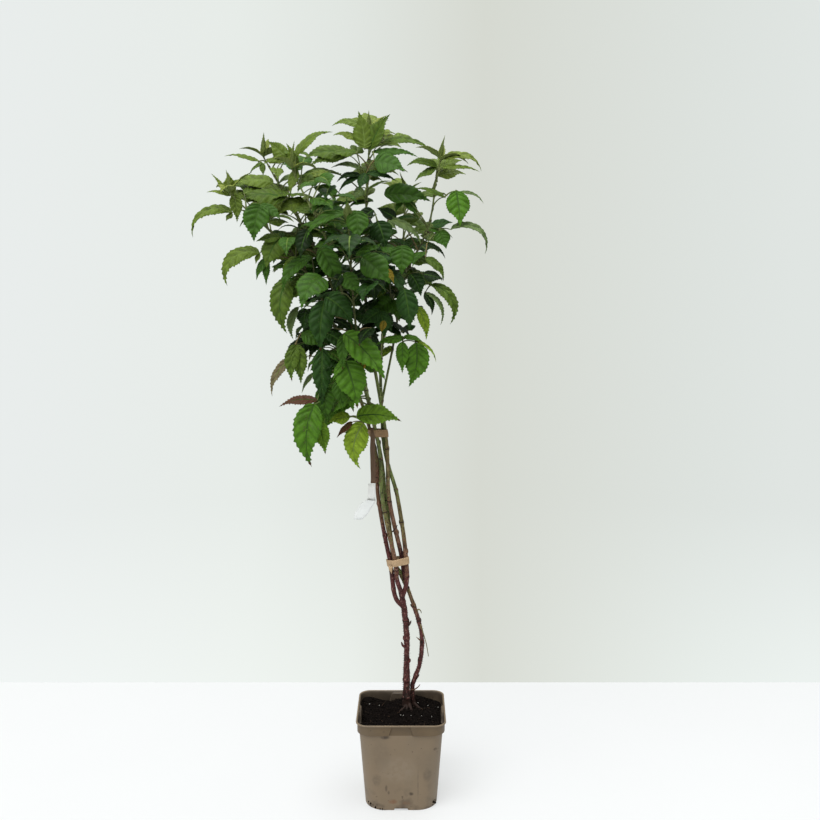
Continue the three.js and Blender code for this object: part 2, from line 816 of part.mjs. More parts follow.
for (const [name, side] of Object.entries(SIDE_SHOOTS)) {
  const bough = boughs.find((one) => one.name === side.of);
  const base = bough.whole.at(bough.whole.fromHeight(side.from));
  const path = Path.through([base, vec(side.crown), vec(side.tip)], 24);
  shoots.push({ ...side, name, path, radius: taper(SHOOT_RADIUS, 0, path.length), cuts: [bough.clear] });
}

for (const [name, tie] of Object.entries(TIES)) {
  place(name, bandGeometry(tie, boughs), MATERIALS.tape);
}

growCrown(shoots, boughs.map((bough) => bough.path));
for (const shoot of shoots) {
  place(`foliage_${shoot.name}`, foliageGeometry(shoot, shoot.cuts), MATERIALS.leaf);
}

const { strip, label } = TAG;
const stripHeights = [strip.foot, strip.top];
const labelHeights = [label.fold, strip.foot - GAP];
const onTag = (z) => vec([TAG.x, TAG.y, z]);
place("tag_strip", stripGeometry(stripHeights.map(onTag), strip.width), MATERIALS.tape);
place("tag_label", stripGeometry([vec(label.tail), ...labelHeights.map(onTag)], label.width), MATERIALS.label);

export default plant;
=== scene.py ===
"""Looks of a young raspberry plant in a square nursery pot.

Lengths are millimetres until a mesh is made. +Z is up, +X right and +Y away from the front.
"""

import math

import bpy
import numpy as np
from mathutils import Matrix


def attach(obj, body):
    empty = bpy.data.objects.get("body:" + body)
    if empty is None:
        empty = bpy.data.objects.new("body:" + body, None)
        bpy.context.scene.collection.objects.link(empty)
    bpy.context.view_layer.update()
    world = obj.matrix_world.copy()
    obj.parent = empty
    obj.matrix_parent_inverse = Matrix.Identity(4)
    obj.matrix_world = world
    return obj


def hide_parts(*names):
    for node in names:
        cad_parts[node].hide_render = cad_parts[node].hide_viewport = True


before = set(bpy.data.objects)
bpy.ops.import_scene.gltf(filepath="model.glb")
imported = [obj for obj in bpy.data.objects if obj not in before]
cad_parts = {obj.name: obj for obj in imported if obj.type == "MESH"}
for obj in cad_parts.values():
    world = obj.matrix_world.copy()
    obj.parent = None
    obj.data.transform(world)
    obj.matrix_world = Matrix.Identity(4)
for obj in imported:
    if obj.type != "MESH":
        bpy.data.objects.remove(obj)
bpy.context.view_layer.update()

# Gap between a bough and the shoot that goes on from it
GAP = 0.3
# Turn from one leaf to the next, in degrees
GOLDEN_ANGLE = 137.5

# Square pot: half widths, heights and corner radii
POT = dict(height=138, base_half=54.3, body_half=63.3, collar_half=65.3, lip_half=67.2, lip_height=2.3,
           collar_height=15, base_corner=31, top_corner=16, wall=1.5, recess=3,
           foot_width=5, notch=19, gap_top=25, gap_foot=34)
SOIL_EDGE = 123
MOUND = dict(x=8, y=22, height=5, radius=30)

# Stems, bands and canes: their lines are those of the solids, and their radii are close to theirs
STEM_MAIN = dict(points=[(8, 22, 124), (8, 22, 190), (8.5, 21, 235), (7, 20, 262), (4, 20, 290),
                         (-1, 18, 316)],
                 radii=[6.4, 5.4, 4.3, 4.2, 4.7, 3.5], flare=2.6, prickles=620, seed=3)
STEM_SIDE = dict(points=[(19, 28, 124), (17, 27, 159), (22, 26, 177), (29, 25, 200), (32, 25, 235),
                         (27, 27, 265), (13, 29, 308), (-1, 26, 341)],
                 radii=[3.5, 3.3, 3.3, 3.3, 3.1, 3.1, 3, 3], flare=1.4, prickles=320, seed=5)
FLARE_HEIGHT = 18
# Bands: middle, half widths of the ring of canes, slant in degrees and how far the band hangs below it
TIES = dict(tie_lower=dict(at=(-5, 19, 365), spread=(12.5, 7), slant=8, drop=2.2),
            tie_upper=dict(at=(-34, 5, 563), spread=(11, 6.5), slant=-1.5, drop=0))
BAND = dict(height=11, thick=0.8, clear=0.35, sides=64)
BOW_HEIGHT = 462
# Canes: angles of their places in the two bands, how they bow between them, where they go through the
# crown, the height where leaves begin, and the first leaf's distance, seed and turn
CANES = dict(
    left=dict(start=(3, 20, 290), elbow=(-10, 19.8, 309), slots=(180, 180), bow=(-34.5, 11),
              crown=(-130, -13, 796), tip=(-244, -25, 909), split=612, first=18, seed=66, phase=330),
    front_left=dict(start=(-1, 18, 316.3), elbow=(-7, 15.2, 337), slots=(250, 255), bow=(-28, 5.6),
                    crown=(-97, -48, 801), tip=(-154, -78, 939), split=606, first=6, seed=264, phase=355),
    back_left=dict(start=(-1, 26, 341.3), slots=(120, 111), bow=(-24, 19), crown=(-104, 46, 790),
                   tip=(-192, 62, 956), split=618, first=51, seed=7, phase=120),
    middle=dict(start=(3, 27.6, 332), slots=(60, 350), bow=(-18, 10), crown=(-52, 10, 765),
                tip=(-46, 25, 1003), split=624, first=49, seed=29, phase=80),
    right=dict(start=(1.5, 18.8, 306), elbow=(8, 19, 329), slots=(350, 53), bow=(-5.5, 18),
               crown=(-21, 26, 758), tip=(62, -15, 944), split=630, first=72, seed=256, phase=320))
SIDE_SHOOTS = dict(
    back=dict(of="right", start=604, crown=(-4, 75, 746), tip=(6, 112, 920), first=84, seed=307, phase=170),
    front=dict(of="front_left", start=600, crown=(-62, -71, 720), tip=(-69, -116, 861), first=32, seed=343,
               phase=285))
CANE_RADIUS = (3.6, 1.1)
SHOOT_RADIUS = (1.9, 1)

# The leaf rule: lengths, widths, gaps between leaves low and high, share with five leaflets, angles
LEAF = dict(petiole=44, rachis=19, leaflet=65, wide=0.26, gaps=(34, 17), five=0.38, rise=(2, 56), bend=30,
            droop=(50, 100), low_droop=(45, 85), low_shrink=0.08, top_shrink=0.36, steps=12, power=1.15)
# Turns and sizes tried in order until a leaf finds room
TURNS = (0, 35, -35, 70, -70, 110, -110, 150, -150)
SHRINKS = (1, 0.8)

# Leaves measured from the front, in the plane through the middle of the pot. Each has the joint of its
# leaflets (x, z, depth and, where it shows, the height at which its stalk leaves the shoot), its shade,
# and its leaflets (tip x and z, forward, arch, facing and width). A shade follows how light or dark the
# leaf looks from the front, so beside its own colour it holds painted shade, and painted sheen on some
SEEN_LEAVES = dict(
    back_left=[
        ((-205, 959, 50), "fresh", (-254, 966, 3, 45, 0.5, 0.14)),
        ((-200, 957, 45), "olive", (-219, 940, 3, 35, 0.6, 0.18), (-199, 938, 9, 20, 0.5, 0.2)),
        ((-164, 963, 40), "fresh", (-192, 987, 3, 20, 0.9, 0.36), (-200, 954, 8, 40, 0.8, 0.17)),
        ((-150, 940, 30), "pale", (-179, 924, 4, 50, 0.7, 0.17)),
        ((-184, 928, 20), "fresh", (-247, 924, 4, 50, 0.8, 0.23)),
        ((-167, 907, 0), "olive", (-236, 903, 6, 50, 0.9, 0.27)),
        ((-140, 903, 10), "fresh", (-178, 882, 6, 50, 0.9, 0.28))],
    front_left=[
        ((-151, 966, -75), "fresh", (-98, 1001, 4, 60, 0.7, 0.17)),
        ((-150, 948, -70), "fresh", (-165, 985, 3, 20, 0.8, 0.2), (-160, 912, 8, 30, 0.8, 0.2)),
        ((-105, 942, -40), "light", (-138, 932, 5, 50, 0.8, 0.2)),
        ((-135, 862, -80), "shade", (-146, 820, 6, 30, 1, 0.3)),
        ((-118, 835, -85), "mid", (-94, 771, 10, 40, 1, 0.22)),
        ((-110, 765, -80), "blue", (-70, 722, 10, 40, 1, 0.3)),
        ((-66, 588, -45), "grass", (1, 580, 3, 42, 0.9, 0.26)),
        ((-76, 588, -44), "lime", (-109, 579, 3, 25, 0.9, 0.32)),
        ((-55, 578, -50), "lime", (-61, 509, 3, 84, 0.9, 0.25)),
        ((-72, 580, -48), "scorch", (-96, 556, 3, 15, 0.7, 0.17))],
    middle=[
        ((-74, 967, -20), "olive", (-142, 961, 5, 60, 0.9, 0.22), (-132, 952, 8, 45, 0.9, 0.18)),
        ((-64, 972, -25), "olive", (-104, 966, 8, 40, 0.8, 0.22)),
        ((-58, 948, -15), "pale", (-101, 950, 4, 50, 0.7, 0.15)),
        ((-57, 938, -10), "deep", (-93, 929, 4, 70, 0.7, 0.17), (-90, 915, 8, 50, 0.7, 0.15)),
        ((-52, 1006, 5), "fresh", (-99, 1009, 3, 68, 0.7, 0.2)),
        ((-60, 989, 0), "light", (-98, 995, 3, 62, 0.8, 0.2)),
        ((-52, 977, -15), "fresh", (-61, 1030, 2, 20, 0.95, 0.28)),
        ((-45, 975, -12), "olive", (-15, 1026, 2, 25, 0.95, 0.22)),
        ((-30, 1000, 8), "light", (-5, 996, 2, 40, 0.5, 0.12)),
        ((-24, 987, -5), "olive", (47, 971, 3, 62, 0.6, 0.12)),
        ((-40, 972, -12), "mid", (25, 965, 4, 40, 0.7, 0.13)),
        ((-38, 960, -30), "mid", (7, 944, 4, 35, 1, 0.4)),
        ((-50, 942, -25), "blue", (-4, 930, 4, 30, 0.7, 0.15), (-60, 918, 8, 30, 0.8, 0.3)),
        ((-48, 919, -5), "olive", (-14, 931, 3, 40, 0.5, 0.12)),
        ((-56, 922, -8), "pale", (-66, 905, 2, 20, 1, 0.4)),
        ((-34, 874, -40), "deep", (-22, 834, 6, 20, 1, 0.4)),
        ((-40, 890, -42), "shade", (-64, 866, 6, 30, 1, 0.3)),
        ((-12, 760, -20), "mid", (-44, 732, 6, 30, 1, 0.36), (-2, 728, 6, 30, 1, 0.3)),
        ((-30, 744, -40), "blue", (-58, 722, 6, 30, 1, 0.34), (-24, 704, 8, 20, 1, 0.3))],
    right=[
        ((62, 962, -15), "light", (117, 945, 3, 104, 0.7, 0.15)),
        ((60, 950, -20), "fresh", (114, 944, 4, 40, 0.6, 0.12)),
        ((52, 951, -15), "olive", (8, 952, 3, 70, 0.8, 0.18), (20, 930, 6, 40, 0.8, 0.18)),
        ((63, 908, -20), "olive", (18, 920, 3, 45, 0.7, 0.12)),
        ((80, 917, -25), "vivid", (86, 866, 12, 25, 1, 0.32)),
        ((84, 915, -18), "pale", (120, 899, 2, 75, 0.6, 0.1)),
        ((73, 862, -25), "pale", (123, 826, 3, 142, 0.6, 0.11)),
        ((45, 868, -25), "blue", (76, 872, 2, 20, 1, 0.25)),
        ((56, 860, -26), "mid", (66, 834, 6, 20, 1, 0.42), (39, 860, 2, 20, 0.8, 0.25)),
        ((38, 841, -22), "shade", (65, 820, 3, 60, 0.7, 0.13)),
        ((36, 821, -30), "olive", (62, 787, 4, 78, 0.8, 0.18)),
        ((-24, 912, 15), "mid", (44, 902, 6, 30, 1, 0.26)),
        ((4, 906, 12), "mid", (25, 877, 4, 40, 0.9, 0.2), (-8, 885, 5, 30, 0.8, 0.2)),
        ((-7, 878, 5), "shade", (-35, 893, 2, 10, 1, 0.3)),
        ((-5, 878, 8), "blue", (23, 878, 3, 45, 0.6, 0.13)),
        ((-18, 876, 0), "pale", (30, 838, 5, 75, 0.7, 0.13)),
        ((-20, 873, -4), "pale", (-6, 862, 2, 20, 0.9, 0.3)),
        ((-13, 848, 0), "deep", (17, 833, 3, 45, 0.6, 0.13)),
        ((2, 839, -60), "mid", (2, 796, 10, 15, 1, 0.4)),
        ((33, 798, -35), "shade", (63, 790, 3, 10, 1, 0.32)),
        ((14, 798, -30), "deep", (30, 765, 6, 30, 0.9, 0.34)),
        ((44, 782, -30), "olive", (72, 724, 4, 116, 0.7, 0.14)),
        ((36, 771, -30), "pale", (58, 723, 4, 98, 0.6, 0.08)),
        ((34, 769, -32), "shade", (45, 738, 4, 70, 0.7, 0.2)),
        ((5, 776, -70), "blue", (13, 715, 8, 20, 1, 0.26)),
        ((25, 750, -20), "lime", (37, 701, 6, 40, 0.9, 0.16)),
        ((6, 704, -42, 692), "vivid", (-38, 694, 4, 35, 0.8, 0.17)),
        ((4, 706, -44), "vivid", (33, 698, 3, 40, 0.7, 0.2)),
        ((2, 699, -45), "vivid", (2, 652, 6, 25, 0.9, 0.2)),
        ((22, 698, -45), "vivid", (10, 632, 8, -55, 0.95, 0.26)),
        ((20, 701, -42), "lime", (52, 669, 3, 70, 0.5, 0.08)),
        ((-20, 805, -75), "yellow", (-10, 784, 3, 10, 0.9, 0.22)),
        ((-24, 730, -62), "yellow", (-29, 712, 2, 10, 1, 0.26))],
    left=[
        ((-248, 910, -15), "light", (-250, 944, 2, 20, 0.8, 0.3), (-281, 915, 3, 50, 0.7, 0.13),
         (-274, 942, 2, 15, 0.7, 0.1)),
        ((-241, 912, -22), "fresh", (-238, 872, 6, 30, 0.9, 0.22)),
        ((-245, 886, -12), "fresh", (-303, 850, 4, 128, 0.7, 0.14), (-254, 874, 6, 20, 0.8, 0.3)),
        ((-203, 898, -50), "mid", (-214, 844, 10, 30, 1, 0.34), (-174, 876, 8, 30, 0.9, 0.26)),
        ((-206, 828, -35), "fresh", (-254, 780, 4, 132, 0.8, 0.18), (-212, 812, 5, 20, 0.8, 0.22)),
        ((-176, 852, -40), "olive", (-197, 806, 8, 30, 1, 0.34), (-211, 845, 6, 20, 0.9, 0.25)),
        ((-196, 820, -35), "mid", (-211, 789, 4, 30, 0.8, 0.2), (-197, 781, 4, 20, 0.7, 0.14)),
        ((-150, 864, -45), "deep", (-179, 861, 4, 80, 0.4, 0.07)),
        ((-130, 822, -60), "mid", (-172, 770, 8, 80, 0.8, 0.17)),
        ((-166, 792, -50), "olive", (-169, 711, 4, 82, 0.9, 0.19)),
        ((-150, 822, -45), "olive", (-172, 786, 5, 30, 1, 0.3)),
        ((-138, 792, -42), "olive", (-170, 748, 4, 40, 0.9, 0.26)),
        ((-150, 750, -40), "pale", (-158, 702, 4, 75, 0.7, 0.13)),
        ((-155, 695, -50), "olive", (-161, 640, 5, 40, 0.9, 0.2), (-148, 636, 5, 20, 0.9, 0.2)),
        ((-146, 712, -45), "mid", (-112, 690, 6, 30, 0.9, 0.3)),
        ((-162, 674, -42), "taupe", (-191, 618, 4, 62, 0.7, 0.14)),
        ((-128, 653, -40), "pale", (-147, 623, 3, 30, 0.6, 0.14)),
        ((-112, 759, -60), "blue", (-118, 684, 8, 30, 1, 0.24)),
        ((-116, 690, -60), "blue", (-117, 601, 8, 20, 0.9, 0.16))],
    front=[
        ((-78, 884, -118), "mid", (-138, 846, 6, 80, 0.7, 0.14)),
        ((-64, 889, -120), "mid", (-62, 844, 12, 25, 1, 0.34)),
        ((-56, 822, -112), "mid", (-15, 783, 10, 20, 1, 0.37)),
        ((-84, 798, -112), "mid", (-60, 768, 10, 20, 1, 0.34)),
        ((-87, 797, -112), "shade", (-98, 772, 6, 30, 0.9, 0.3)),
        ((-84, 711, -108), "vivid", (-22, 642, 8, 30, 0.9, 0.22)),
        ((-85, 709, -108), "mid", (-86, 657, 6, 25, 0.8, 0.17)),
        ((-82, 671, -102), "vivid", (-64, 600, 8, 15, 1, 0.31), (-100, 642, 5, 30, 0.8, 0.2)),
        ((-95, 642, -80), "mid", (-86, 601, 5, 20, 1, 0.28)),
        ((-128, 607, -75), "vivid", (-134, 512, 6, 62, 0.9, 0.215), (-152, 543, 14, 10, 0.4, 0.1)),
        ((-124, 582, -70), "grass", (-113, 531, 6, 15, 0.9, 0.24)),
        ((-116, 634, -62), "mid", (-111, 580, 6, 20, 0.9, 0.26)),
        ((-124, 612, -70), "bronze", (-181, 603, 3, 45, 0.8, 0.15)),
        ((-52, 668, -98), "yellow", (-66, 653, 2, 10, 1, 0.26))])
# Gaps through which the wall shows from the front: x and z of the middle, half width and half height
SKY = np.array([
    (-195, 971, 4, 10), (-152, 968, 5, 4), (-131, 973, 6, 9), (-115, 953, 10, 4), (-205, 944, 14, 5),
    (-163, 927, 12, 10), (-187, 940, 6, 8), (-128, 917, 9, 6), (-143, 911, 6, 5), (-103, 904, 14, 3),
    (-92, 942, 8, 3), (-86, 953, 8, 3), (-82, 922, 10, 11), (-245, 896, 4, 6), (-229, 885, 4, 4),
    (-183, 867, 11, 8), (-163, 861, 12, 8), (-150, 873, 7, 14), (-158, 838, 7, 6), (-195, 794, 6, 12),
    (-156, 749, 10, 10), (-152, 725, 8, 14), (-169, 731, 6, 14), (-128, 752, 7, 10), (-100, 770, 4, 6),
    (-128, 677, 9, 7), (-134, 640, 8, 14), (-158, 628, 14, 12), (-98, 634, 4, 9), (-70, 597, 12, 4),
    (-44, 636, 5, 22), (-33, 650, 4, 10), (-28, 690, 8, 6), (-85, 1009, 9, 5), (-77, 985, 13, 8),
    (-38, 955, 5, 5), (-45, 928, 5, 6), (-8, 978, 7, 4), (28, 977, 22, 8), (14, 946, 10, 12),
    (3, 937, 10, 5), (20, 930, 12, 7), (38, 934, 12, 10), (-35, 915, 12, 7), (-22, 901, 15, 8),
    (-41, 886, 6, 13), (8, 888, 10, 5), (36, 890, 9, 17), (60, 886, 16, 20), (6, 858, 12, 12),
    (47, 851, 4, 6), (0, 840, 6, 3), (48, 830, 11, 5), (58, 927, 12, 9), (15, 850, 9, 9),
    (36, 906, 9, 9), (50, 872, 8, 6), (-22, 622, 15, 24), (31, 806, 14, 9), (1, 797, 5, 8),
    (20, 781, 5, 6), (-52, 797, 5, 6), (-78, 836, 5, 9), (53, 771, 10, 8), (34, 755, 5, 12),
    (4, 735, 5, 8), (10, 674, 4, 16), (-14, 674, 10, 18), (22, 720, 8, 8), (52, 745, 10, 12)])
# Share of a leaf that may show outside the crown as seen from the front, as it grows and at the end
OUTSIDE = dict(grown=0.2, kept=0.3)
# How far back any leaf may reach
BACK_EDGE = 207
# Cells that keep the shoots apart, and the share of a leaf that may lie close to its own shoot's leaves
ROOM = dict(origin=(-400, -300, 420), cells=(120, 100, 112), cell=6, crowd=0.06)
# The front view in cells, and the share of a leaflet that may stand close before the measured ones
SCREEN = dict(left=-350, foot=400, cells=(160, 180), cell=4, near=4, share=0.22)
# How far up a shoot the inner leaves go, as a share of its length
INNER_REACH = 0.85
# How far below its joint a measured leaf leaves the shoot, as a share of the length of its stalk
STALK_DROP = 0.6
# Measured leaves whose joints are this close hang on one stalk
SHARED_STALK = 26
# Rounds that fill the inside: step of the seed, start as a share of the gap, turn
INNER_ROUNDS = [(2000, 0.25, 34), (3000, 0.75, 193), (4000, 0.1, 260)]
# How blades follow the light: slope at the sides, lean to the front, share of it, turn about the midrib
LIGHT = dict(level=-10, lean=42, follow=0.55, turn=26)
# Where the light on the measured leaves comes from
FRONT_LIGHT = np.array([0, -0.82, 0.57])
# How steeply an arched leaflet leaves its joint, above the straight line and as a share of its arch
ARCH_START = 0.465
# How far a shoot stands to the right of and above its solid, at the tip and two thirds of the way up
LIFTS = dict(left=((0, 3), (-2, -5)), front_left=((6, 0), (6, 0)), back_left=((-15, 18), (-3, 0)),
             right=((-5, 15), (24, 0)))
# Where the front is seen from
EYE = (13.4, -1457, 766)
# Where the crown ends as seen from the front: height, left and right
EDGES = np.array([(500, -50, -15), (540, -135, -14), (575, -158, 0), (600, -160, -12), (616, -130, -24),
                  (640, -150, -22), (660, -168, -24), (690, -165, -16), (712, -168, 20), (740, -184, 34),
                  (780, -184, 60), (815, -200, 60), (850, -213, 68), (880, -232, 74), (905, -252, 92),
                  (932, -252, 62), (948, -228, 100), (962, -218, 108), (976, -210, 66), (990, -165, 44),
                  (1005, -105, -8), (1022, -92, -20), (1040, -62, -30)])


# Numbers and lines

def rad(degrees):
    return math.radians(degrees)


def unit(vectors):
    return vectors / np.linalg.norm(vectors, axis=-1, keepdims=True)


def mix(a, b, share):
    return a + (b - a) * share


def draws(seed, index, count):
    """A fixed run of numbers from 0 to 1 for one leaf"""
    state = (seed * 7919 + index * 104729 + 12345) % 4294967296
    values = []
    for k in range(count + 3):
        state = (state * 1664525 + 1013904223) % 4294967296
        if k > 2:
            values.append(state / 4294967296)
    return values


def heading(azimuth, elevation):
    """The unit vector that points that way"""
    level = np.cos(elevation)
    return np.stack([level * np.cos(azimuth), level * np.sin(azimuth), np.sin(elevation)], -1)


def arc(start, azimuth, first, last, length, steps, power=1.0):
    """A line that leaves at one elevation and ends at another"""
    share = ((np.arange(steps) + 0.5) / steps) ** power
    run = heading(azimuth, mix(first, last, share)) * (length / steps)
    return np.concatenate([[start], start + np.cumsum(run, 0)])


def through(points, steps):
    """A smooth line through the points"""
    points = np.array(points, float)
    ends = [2 * points[0] - points[1], *points, 2 * points[-1] - points[-2]]
    line = []
    for k in range(steps + 1):
        place = (len(points) - 1) * k / steps
        i = min(int(place), len(points) - 2)
        w = place - i
        p0, p1, p2, p3 = ends[i:i + 4]
        t1 = (p2 - p0) / 2
        t2 = (p3 - p1) / 2
        cubic = 2 * p1 - 2 * p2 + t1 + t2
        square = 3 * p2 - 3 * p1 - 2 * t1 - t2
        line.append(cubic * w ** 3 + square * w ** 2 + t1 * w + p1)
    return np.array(line)


class Path:
    """A line of points that is read by distance or by height"""

    def __init__(self, points):
        self.points = np.array(points, float)
        steps = np.linalg.norm(np.diff(self.points, axis=0), axis=1)
        self.lengths = np.concatenate([[0], np.cumsum(steps)])
        self.length = self.lengths[-1]

    def at(self, distance):
        s = np.clip(distance, 0, self.length)
        return np.stack([np.interp(s, self.lengths, self.points[:, axis]) for axis in range(3)], -1)

    def from_height(self, z):
        return np.interp(z, self.points[:, 2], self.lengths)

    def part(self, first, last):
        inner = (self.lengths > first + 1) & (self.lengths < last - 1)
        return Path([self.at(first), *self.points[inner], self.at(last)])

    def spaced(self, step):
        count = max(2, int(self.length / step))
        return self.at(self.length * np.arange(count + 1) / count)


# Growth rule

# Outline of a leaflet: how round its foot and its tip are, and what brings its widest place to 1
OUTLINE = dict(foot=0.6, tip=1.15, scale=3.08)
# Stalk: how much it levels off along the leaflets. Side pairs: angle to the stalk and size beside the end
LEVEL_OFF = 12
PAIR = dict(fan=62, size=0.8)
OUTER_PAIR = dict(fan=70, size=0.7)
INNER_PAIR = dict(fan=55, size=0.86)
# Young leaflets at a tip: rise, droop, length and width
TIP_LEAFLETS = [(86, 6, 34, 0.11), (62, 30, 40, 0.15), (48, 55, 44, 0.19), (34, 75, 48, 0.21)]


def outline(t):
    """Half the width of a leaflet along its midrib, as a share of its widest"""
    return OUTLINE["scale"] * t ** OUTLINE["foot"] * (1 - t) ** OUTLINE["tip"]


class Blade:
    """A leaflet whose midrib arches down"""
    sheet_t = np.arange(1, 15) / 14
    sheet_x = np.array([-1, -0.67, -0.33, 0, 0.33, 0.67, 1])

    def __init__(self, start, azimuth, elevation, droop, length, width, roll):
        self.start = start
        self.azimuth = azimuth
        self.elevation = elevation
        self.droop = droop
        self.length = length
        self.width = width
        self.roll = roll

    def frame(self, t, steps=LEAF["steps"], hook=0.0, twist=0.0):
        """Points of the midrib, with the blade's own sideways and upward directions there"""
        middles = (np.arange(steps) + 0.5) / steps
        midrib = arc(self.start, self.azimuth + hook * middles ** 2, self.elevation,
                     self.elevation - self.droop, self.length, steps, LEAF["power"])
        place = t * steps
        k = np.minimum(place.astype(int), steps - 1)
        point = mix(midrib[k], midrib[k + 1], (place - k)[..., None])
        azimuth = self.azimuth + hook * t ** 2
        tangent = heading(azimuth, self.elevation - self.droop * t ** LEAF["power"])
        level = np.stack([-np.sin(azimuth), np.cos(azimuth), 0 * t], -1)
        normal = np.cross(tangent, level)
        roll = self.roll + twist * (t - 0.3)
        cos, sin = np.cos(roll)[..., None], np.sin(roll)[..., None]
        return point, level * cos + normal * sin, normal * cos - level * sin

    def sheet(self):
        """Points all over the blade, to test and claim its room"""
        point, side, _ = self.frame(self.sheet_t)
        reach = self.width * outline(self.sheet_t)[:, None] * self.sheet_x
        return (point[:, None] + side[:, None] * reach[..., None]).reshape(-1, 3)


class Leaf:
    """A stalk and its leaflets, with a shade of its own where it was measured"""

    def __init__(self, stalk, blades, shade=None, young=False):
        self.stalk = stalk
        self.blades = blades
        self.shade = shade
        self.young = young


def spray(base, azimuth, rise, petiole, rachis, leaflet, droops, five, r):
    """A stalk with a leaflet at its end and one or two pairs beside it"""
    level = rise - rad(LEAF["bend"])
    stalk = arc(base, azimuth, rise, level, petiole, 3)
    spine = arc(stalk[-1], azimuth, level, level - rad(LEVEL_OFF), rachis, 2)
    width = LEAF["wide"] * leaflet * (0.9 + 0.25 * r[9])
    end_droop, least, most = droops
    blades = [Blade(spine[2], azimuth + rad(16) * (r[7] - 0.5), level - rad(LEVEL_OFF), end_droop,
                    leaflet, width, rad(34) * (r[10] - 0.5))]
    pairs = [(stalk[-1], OUTER_PAIR), (spine[1], INNER_PAIR)] if five else [(stalk[-1], PAIR)]
    k = 11
    for at, pair in pairs:
        for hand in (1, -1):
            length = leaflet * pair["size"] * (0.92 + 0.16 * r[k])
            droop = 0.8 * mix(least, most, r[k + 2])
            turn = hand * rad(pair["fan"] + 16 * (r[k + 1] - 0.5))
            roll = hand * rad(24 * (r[k + 2] - 0.5) - 14)
            blades.append(Blade(at, azimuth + turn, level - rad(4), droop, length,
                                LEAF["wide"] * length * 1.04, roll))
            k += 3
    return Leaf(np.concatenate([stalk, spine[1:]]), blades)


def grown_leaf(base, share, seed, phase, index, turn, shrink):
    """The leaf of the rule at a share of the shoot's length, turned and shrunk to fit"""
    r = draws(seed, index, 24)
    low = max(0, 1 - share / 0.35)
    top = max(0, (share - 0.7) / 0.3)
    size = (1 - LEAF["low_shrink"] * low - LEAF["top_shrink"] * top) * (0.86 + 0.28 * r[0]) * shrink
    azimuth = rad(phase + index * GOLDEN_ANGLE + 24 * (r[1] - 0.5) + turn)
    low_rise, high_rise = LEAF["rise"]
    rise = rad(low_rise + high_rise * share + 14 * (r[2] - 0.5) + 12 * top)
    five = size > 0.75 and r[5] < LEAF["five"]
    rachis = LEAF["rachis"] * size * (0.85 + 0.3 * r[4]) * (1.7 if five else 1)
    least, most = LEAF["droop"] if share > 0.25 else LEAF["low_droop"]
    soft = rad(1 - 0.5 * top)
    droops = (mix(least, most, r[8]) * soft, least * soft, most * soft)
    return spray(base, azimuth, rise, LEAF["petiole"] * size * (0.75 + 0.5 * r[3]), rachis,
                 LEAF["leaflet"] * size * (0.88 + 0.24 * r[6]), droops, five, r)


def tip_spray(path, seed):
    """Young leaflets that stand up at the tip of a shoot"""
    r = draws(seed, 977, 16)
    tip = path.points[-1]
    blades = []
    for k, (rise, droop, length, width) in enumerate(TIP_LEAFLETS):
        azimuth = k * rad(GOLDEN_ANGLE) + 6.28 * r[0] + 0.6 * r[k]
        length *= 0.85 + 0.3 * r[8 + k]
        blades.append(Blade(tip, azimuth, rad(rise - 10 * r[4 + k]), rad(droop), length,
                            length * width, 0))
    return Leaf(np.array([path.at(path.length - 4), tip]), blades, young=True)


class Room:
    """Cells that hold the marks of the shoots whose leaves are in them or beside them"""
    beside = np.stack(np.meshgrid(*[(-1, 0, 1)] * 3), -1).reshape(-1, 3)

    def __init__(self):
        self.marks = np.zeros(ROOM["cells"], int)
        self.near = np.zeros(ROOM["cells"], int)

    def cells(self, points):
        cells = np.floor((points - np.array(ROOM["origin"])) / ROOM["cell"]).astype(int)
        return np.clip(cells, 1, np.array(ROOM["cells"]) - 2)

    def claim(self, points, mark):
        cells = self.cells(points)
        self.marks[tuple(cells.T)] |= mark
        for step in self.beside:
            self.near[tuple((cells + step).T)] |= mark

    def taken(self, points, allowed, tight=False):
        held = self.marks if tight else self.near
        return bool((held[tuple(self.cells(points).T)] & ~allowed).any())

    def share(self, points, mark):
        return float(((self.marks[tuple(self.cells(points).T)] & mark) != 0).mean())


class Shoot:
    """A leafy shoot; its marks in the cells are one bit for its leaves and one for its stem"""

    def __init__(self, name, path, radii, row, order):
        self.name = name
        self.path = path
        self.radii = radii
        self.first = row["first"]
        self.seed = row["seed"]
        self.phase = row["phase"]
        self.mark = 2 << order
        self.stem_mark = 8192 << order
        self.leaves = []
        self.seen = []


def fit_leaf(room, shoot, base, share, index, seed, phase, tight, open_front):
    """The first leaf of the rule that fits the room left at one place on a shoot"""
    for shrink in SHRINKS:
        for turn in TURNS:
            leaf = grown_leaf(base, share, seed, phase, index, turn, shrink)
            sheets = np.concatenate([blade.sheet() for blade in leaf.blades])
            stalk = leaf.stalk[1:]
            if open_front and outside(sheets) > OUTSIDE["grown"]:
                continue
            if room.taken(sheets, shoot.mark, tight):
                continue
            if room.taken(stalk, shoot.mark | shoot.stem_mark, tight):
                continue
            if room.share(sheets, shoot.mark) <= (4 if tight else 1) * ROOM["crowd"]:
                room.claim(np.concatenate([sheets, stalk]), shoot.mark)
                return leaf
    return None


